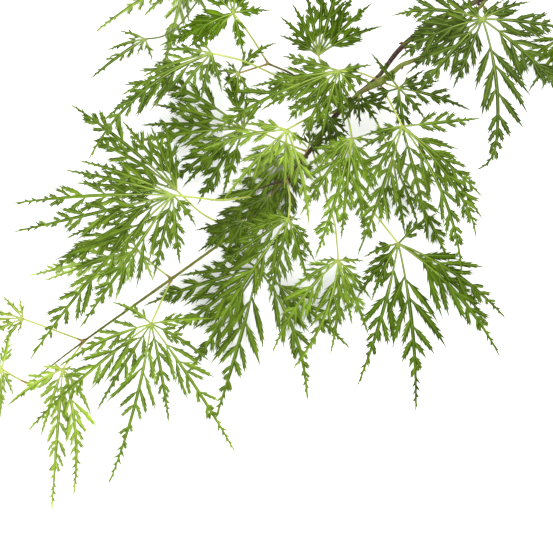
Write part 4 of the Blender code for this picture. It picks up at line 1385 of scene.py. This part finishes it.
def put_buds(first, line, spots):
    """Pairs of buds at the nodes, either side of the limb and pointing forward."""
    rows = np.array(line, float)
    made = []
    for spot, length, hands in spots:
        near = int(np.argmin(np.linalg.norm(rows[:, :2] - np.array(spot), axis=1)))
        way = rows[min(near + 1, len(rows) - 1), :3] - rows[max(near - 1, 0), :3]
        way /= np.linalg.norm(way)
        side = np.cross((0.0, 0.0, 1.0), way)
        for hand in hands:
            out = way * math.cos(BUD_LEAN) + side * math.sin(BUD_LEAN) * hand
            alone(first)
            bpy.ops.object.duplicate()
            made.append(bpy.context.object)
            set_on(made[-1], rows[near, :3] + side * hand * rows[near, 3] * BUD_INSET, out, length)
    return made


def all_buds(stems, finish):
    """Every bud, as copies of one, joined to one piece."""
    first = turned([(wide * BUD_SLIM, along) for wide, along in BUD_RINGS], BUD_SIDES)
    buds = []
    for name, spots in BUDS.items():
        buds += put_buds(first, resampled(stems[name], FINE_STEP), spots)
    bpy.data.objects.remove(first)
    alone(buds[0])
    for bud in buds:
        bud.select_set(True)
    bpy.ops.object.join()
    return dressed(bpy.context.object, "buds", [finish])


def leaf_parts(name, leaf, stalk, limbs):
    """One leaf's blades, ribs and stalk, with its lobes kept clear of the limbs round it."""
    rng = random.Random(SEED * 1000 + int(name[-2:]))
    cut = CUTS.get(name, PLAIN_CUT)
    blades, ribs, handle = Sheet(), Sheet(), Sheet()
    paths = [lobe_path(leaf.hub, *each) for each in leaf.lobes]
    for number, (each, path) in enumerate(zip(leaf.lobes, paths)):
        grow_lobe(leaf, path, each[1], paths, limbs, blades, ribs, rng, cut,
                  dry=(name, number) in DRY_LOBES,
                  sink=SHADED_LOBE_SINK if (name, number) in SHADED_LOBES else 0.0)
    fillers = FILLERS.get(name, [])
    between = [lobe_path(leaf.hub, *each) for each in fillers]
    for each, path in zip(fillers, between):
        grow_lobe(leaf, path, each[1], between, limbs, blades, ribs, rng, cut, sink=FILLER_SINK)
    leaf_stalk(handle, stalk)
    knuckle(handle, leaf)
    return blades, ribs, handle


# The branch

stems = stem_lines()
stalks = {name: stalk_line(leaf, stems) for name, leaf in LEAVES.items()}
small_stalks = {name: stalk_line(leaf, stems) for name, leaf in SMALL_LEAVES.items()}

dry_finish = blade_finish("dry_brown", (0.151, 0.064, 0.023), DRY_GLEAM, (0.6, 0.8))
blade_finishes, rib_finishes = {}, {}
for tint_name, tint in TINTS.items():
    greens = leaf_greens(tint_name, tint.blade) + [dry_finish]
    veins = leaf_veins(tint_name, tint)
    names = [f"leaf_{number:02d}" for number in tint.leaves]
    for name in names + (list(SMALL_LEAVES) if tint_name == SMALL_TINT else []):
        blade_finishes[name], rib_finishes[name] = greens, veins
stalk_green = streak_finish("stalk_green", (0.227, 0.288, 0.038), (0.288, 0.333, 0.061), 0.42)
stalk_red = streak_finish("stalk_red", (0.197, 0.091, 0.0189), (0.182, 0.151, 0.026), 0.45)
stalk_dull = streak_finish("stalk_dull", (0.064, 0.095, 0.0166), (0.098, 0.129, 0.026), 0.5)
hub_amber = streak_finish("hub_amber", (0.227, 0.144, 0.026), (0.250, 0.250, 0.045), 0.5)
plain_stalk = [stalk_green, stalk_red, hub_amber]
odd_stalks = {"leaf_22": [stalk_dull, stalk_dull, stalk_red],
              "leaf_25": [stalk_red, stalk_red, hub_amber]}

for tone in TONES:
    blades, ribs, handles = Gathered(), Gathered(), Gathered()
    named = [name for name, leaf in LEAVES.items() if leaf.tone == tone]
    small = [name for name, leaf in SMALL_LEAVES.items() if leaf.tone == tone]
    for name in named + small:
        leaf = LEAVES.get(name) or SMALL_LEAVES[name]
        limbs = [*stems.values(), *(line for other, line in stalks.items() if other != name)]
        stalk = rooted(stalks.get(name) or small_stalks[name], leaf.stalk[0], stems[leaf.stem])
        leaf_blades, leaf_ribs, handle = leaf_parts(name, leaf, stalk, capsules(limbs))
        blades.add(leaf_blades, blade_finishes[name], leaf)
        ribs.add(leaf_ribs, rib_finishes[name], leaf)
        handles.add(handle, odd_stalks.get(name, plain_stalk))
    slot = tone + "_leaf"
    foliage = blades.piece(tone + "_blades")
    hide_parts(*named)
    ribs.piece(tone + "_ribs")
    handles.piece(tone + "_stalks")

barks = {
    "bark": bark_finish("brown_bark", (0.0076, 0.0038, 0.003), (0.032, 0.0136, 0.0091),
                        (0.106, 0.057, 0.038), (0.092, 0.090, 0.040), 0.62,
                        ((0.056, 0.060, 0.0060), (0.098, 0.108, 0.0105), (0.150, 0.160, 0.020))),
    "green_bark": bark_finish("green_bark", (0.057, 0.072, 0.0098), (0.106, 0.129, 0.0189),
                              (0.166, 0.182, 0.038), (0.106, 0.068, 0.026), 0.5),
    "dead_bark": bark_finish("dead_bark", (0.0136, 0.0076, 0.0053), (0.034, 0.0197, 0.0136),
                             (0.076, 0.049, 0.038), (0.053, 0.045, 0.034), 0.8),
}
for name, line in stems.items():
    nodes = [stem.points[0] for stem in STEMS.values() if stem.parent == name]
    nodes += [leaf.stalk[0] for leaf in LEAVES.values() if leaf.stem == name]
    slot = STEMS[name].bark
    if STEMS[name].parent:
        line = rooted(line, STEMS[name].points[0], stems[STEMS[name].parent])
    else:
        line = slimmed(line)
    limb = bark(name + "_bark", line, nodes, barks[slot])
    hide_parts(name)

bud_red = bark_finish("bud_red", (0.023, 0.0045, 0.0045), (0.057, 0.0098, 0.0083),
                      (0.106, 0.026, 0.0166), (0.121, 0.045, 0.023), 0.45)
all_buds(stems, bud_red)
cut_face(stems["main_stem"], [
    streak_finish("cut_rind", (0.151, 0.151, 0.045), (0.197, 0.182, 0.061), 0.6),
    streak_finish("cut_wood_young", (0.469, 0.394, 0.227), (0.530, 0.454, 0.288), 0.7),
    streak_finish("cut_wood", (0.394, 0.318, 0.174), (0.454, 0.378, 0.219), 0.7),
    streak_finish("cut_pith", (0.227, 0.151, 0.076), (0.272, 0.189, 0.098), 0.8)])

# The floor, lights and camera

bpy.ops.object.select_all(action="DESELECT")
bpy.ops.mesh.primitive_plane_add(size=FLOOR_SIZE, location=(0, 0, 0))
floor = bpy.context.object
floor.name = "floor"
floor.data.materials.append(plain_finish("pale_floor", FLOOR_WHITE, 0.9))

for spot, size, power in LAMPS:
    bpy.ops.object.light_add(type="AREA", location=spot)
    lamp = bpy.context.object
    lamp.data.shape = "DISK"
    lamp.data.size = size
    lamp.data.energy = power
    lamp.rotation_mode = "QUATERNION"
    lamp.rotation_quaternion = (-Vector(spot)).to_track_quat("-Z", "Y")

world = bpy.context.scene.world or bpy.data.worlds.new("studio")
bpy.context.scene.world = world
world.use_nodes = True
world.node_tree.nodes["Background"].inputs["Color"].default_value = (1.0, 1.0, 1.0, 1.0)
world.node_tree.nodes["Background"].inputs["Strength"].default_value = WORLD_LIGHT

distance = FRAME_WIDTH * MM * LENS / SENSOR
bpy.ops.object.camera_add(location=((FRAME_MIDDLE[0] - CENTRE[0]) * MM,
                                    (FRAME_MIDDLE[1] - CENTRE[1]) * MM,
                                    FRAME_HEIGHT * MM + distance), rotation=(0, 0, 0))
camera = bpy.context.object
camera.data.lens = LENS
camera.data.sensor_width = SENSOR
camera.data.clip_end = FARTHEST
bpy.context.scene.camera = camera
bpy.context.scene.view_settings.view_transform = "Standard"
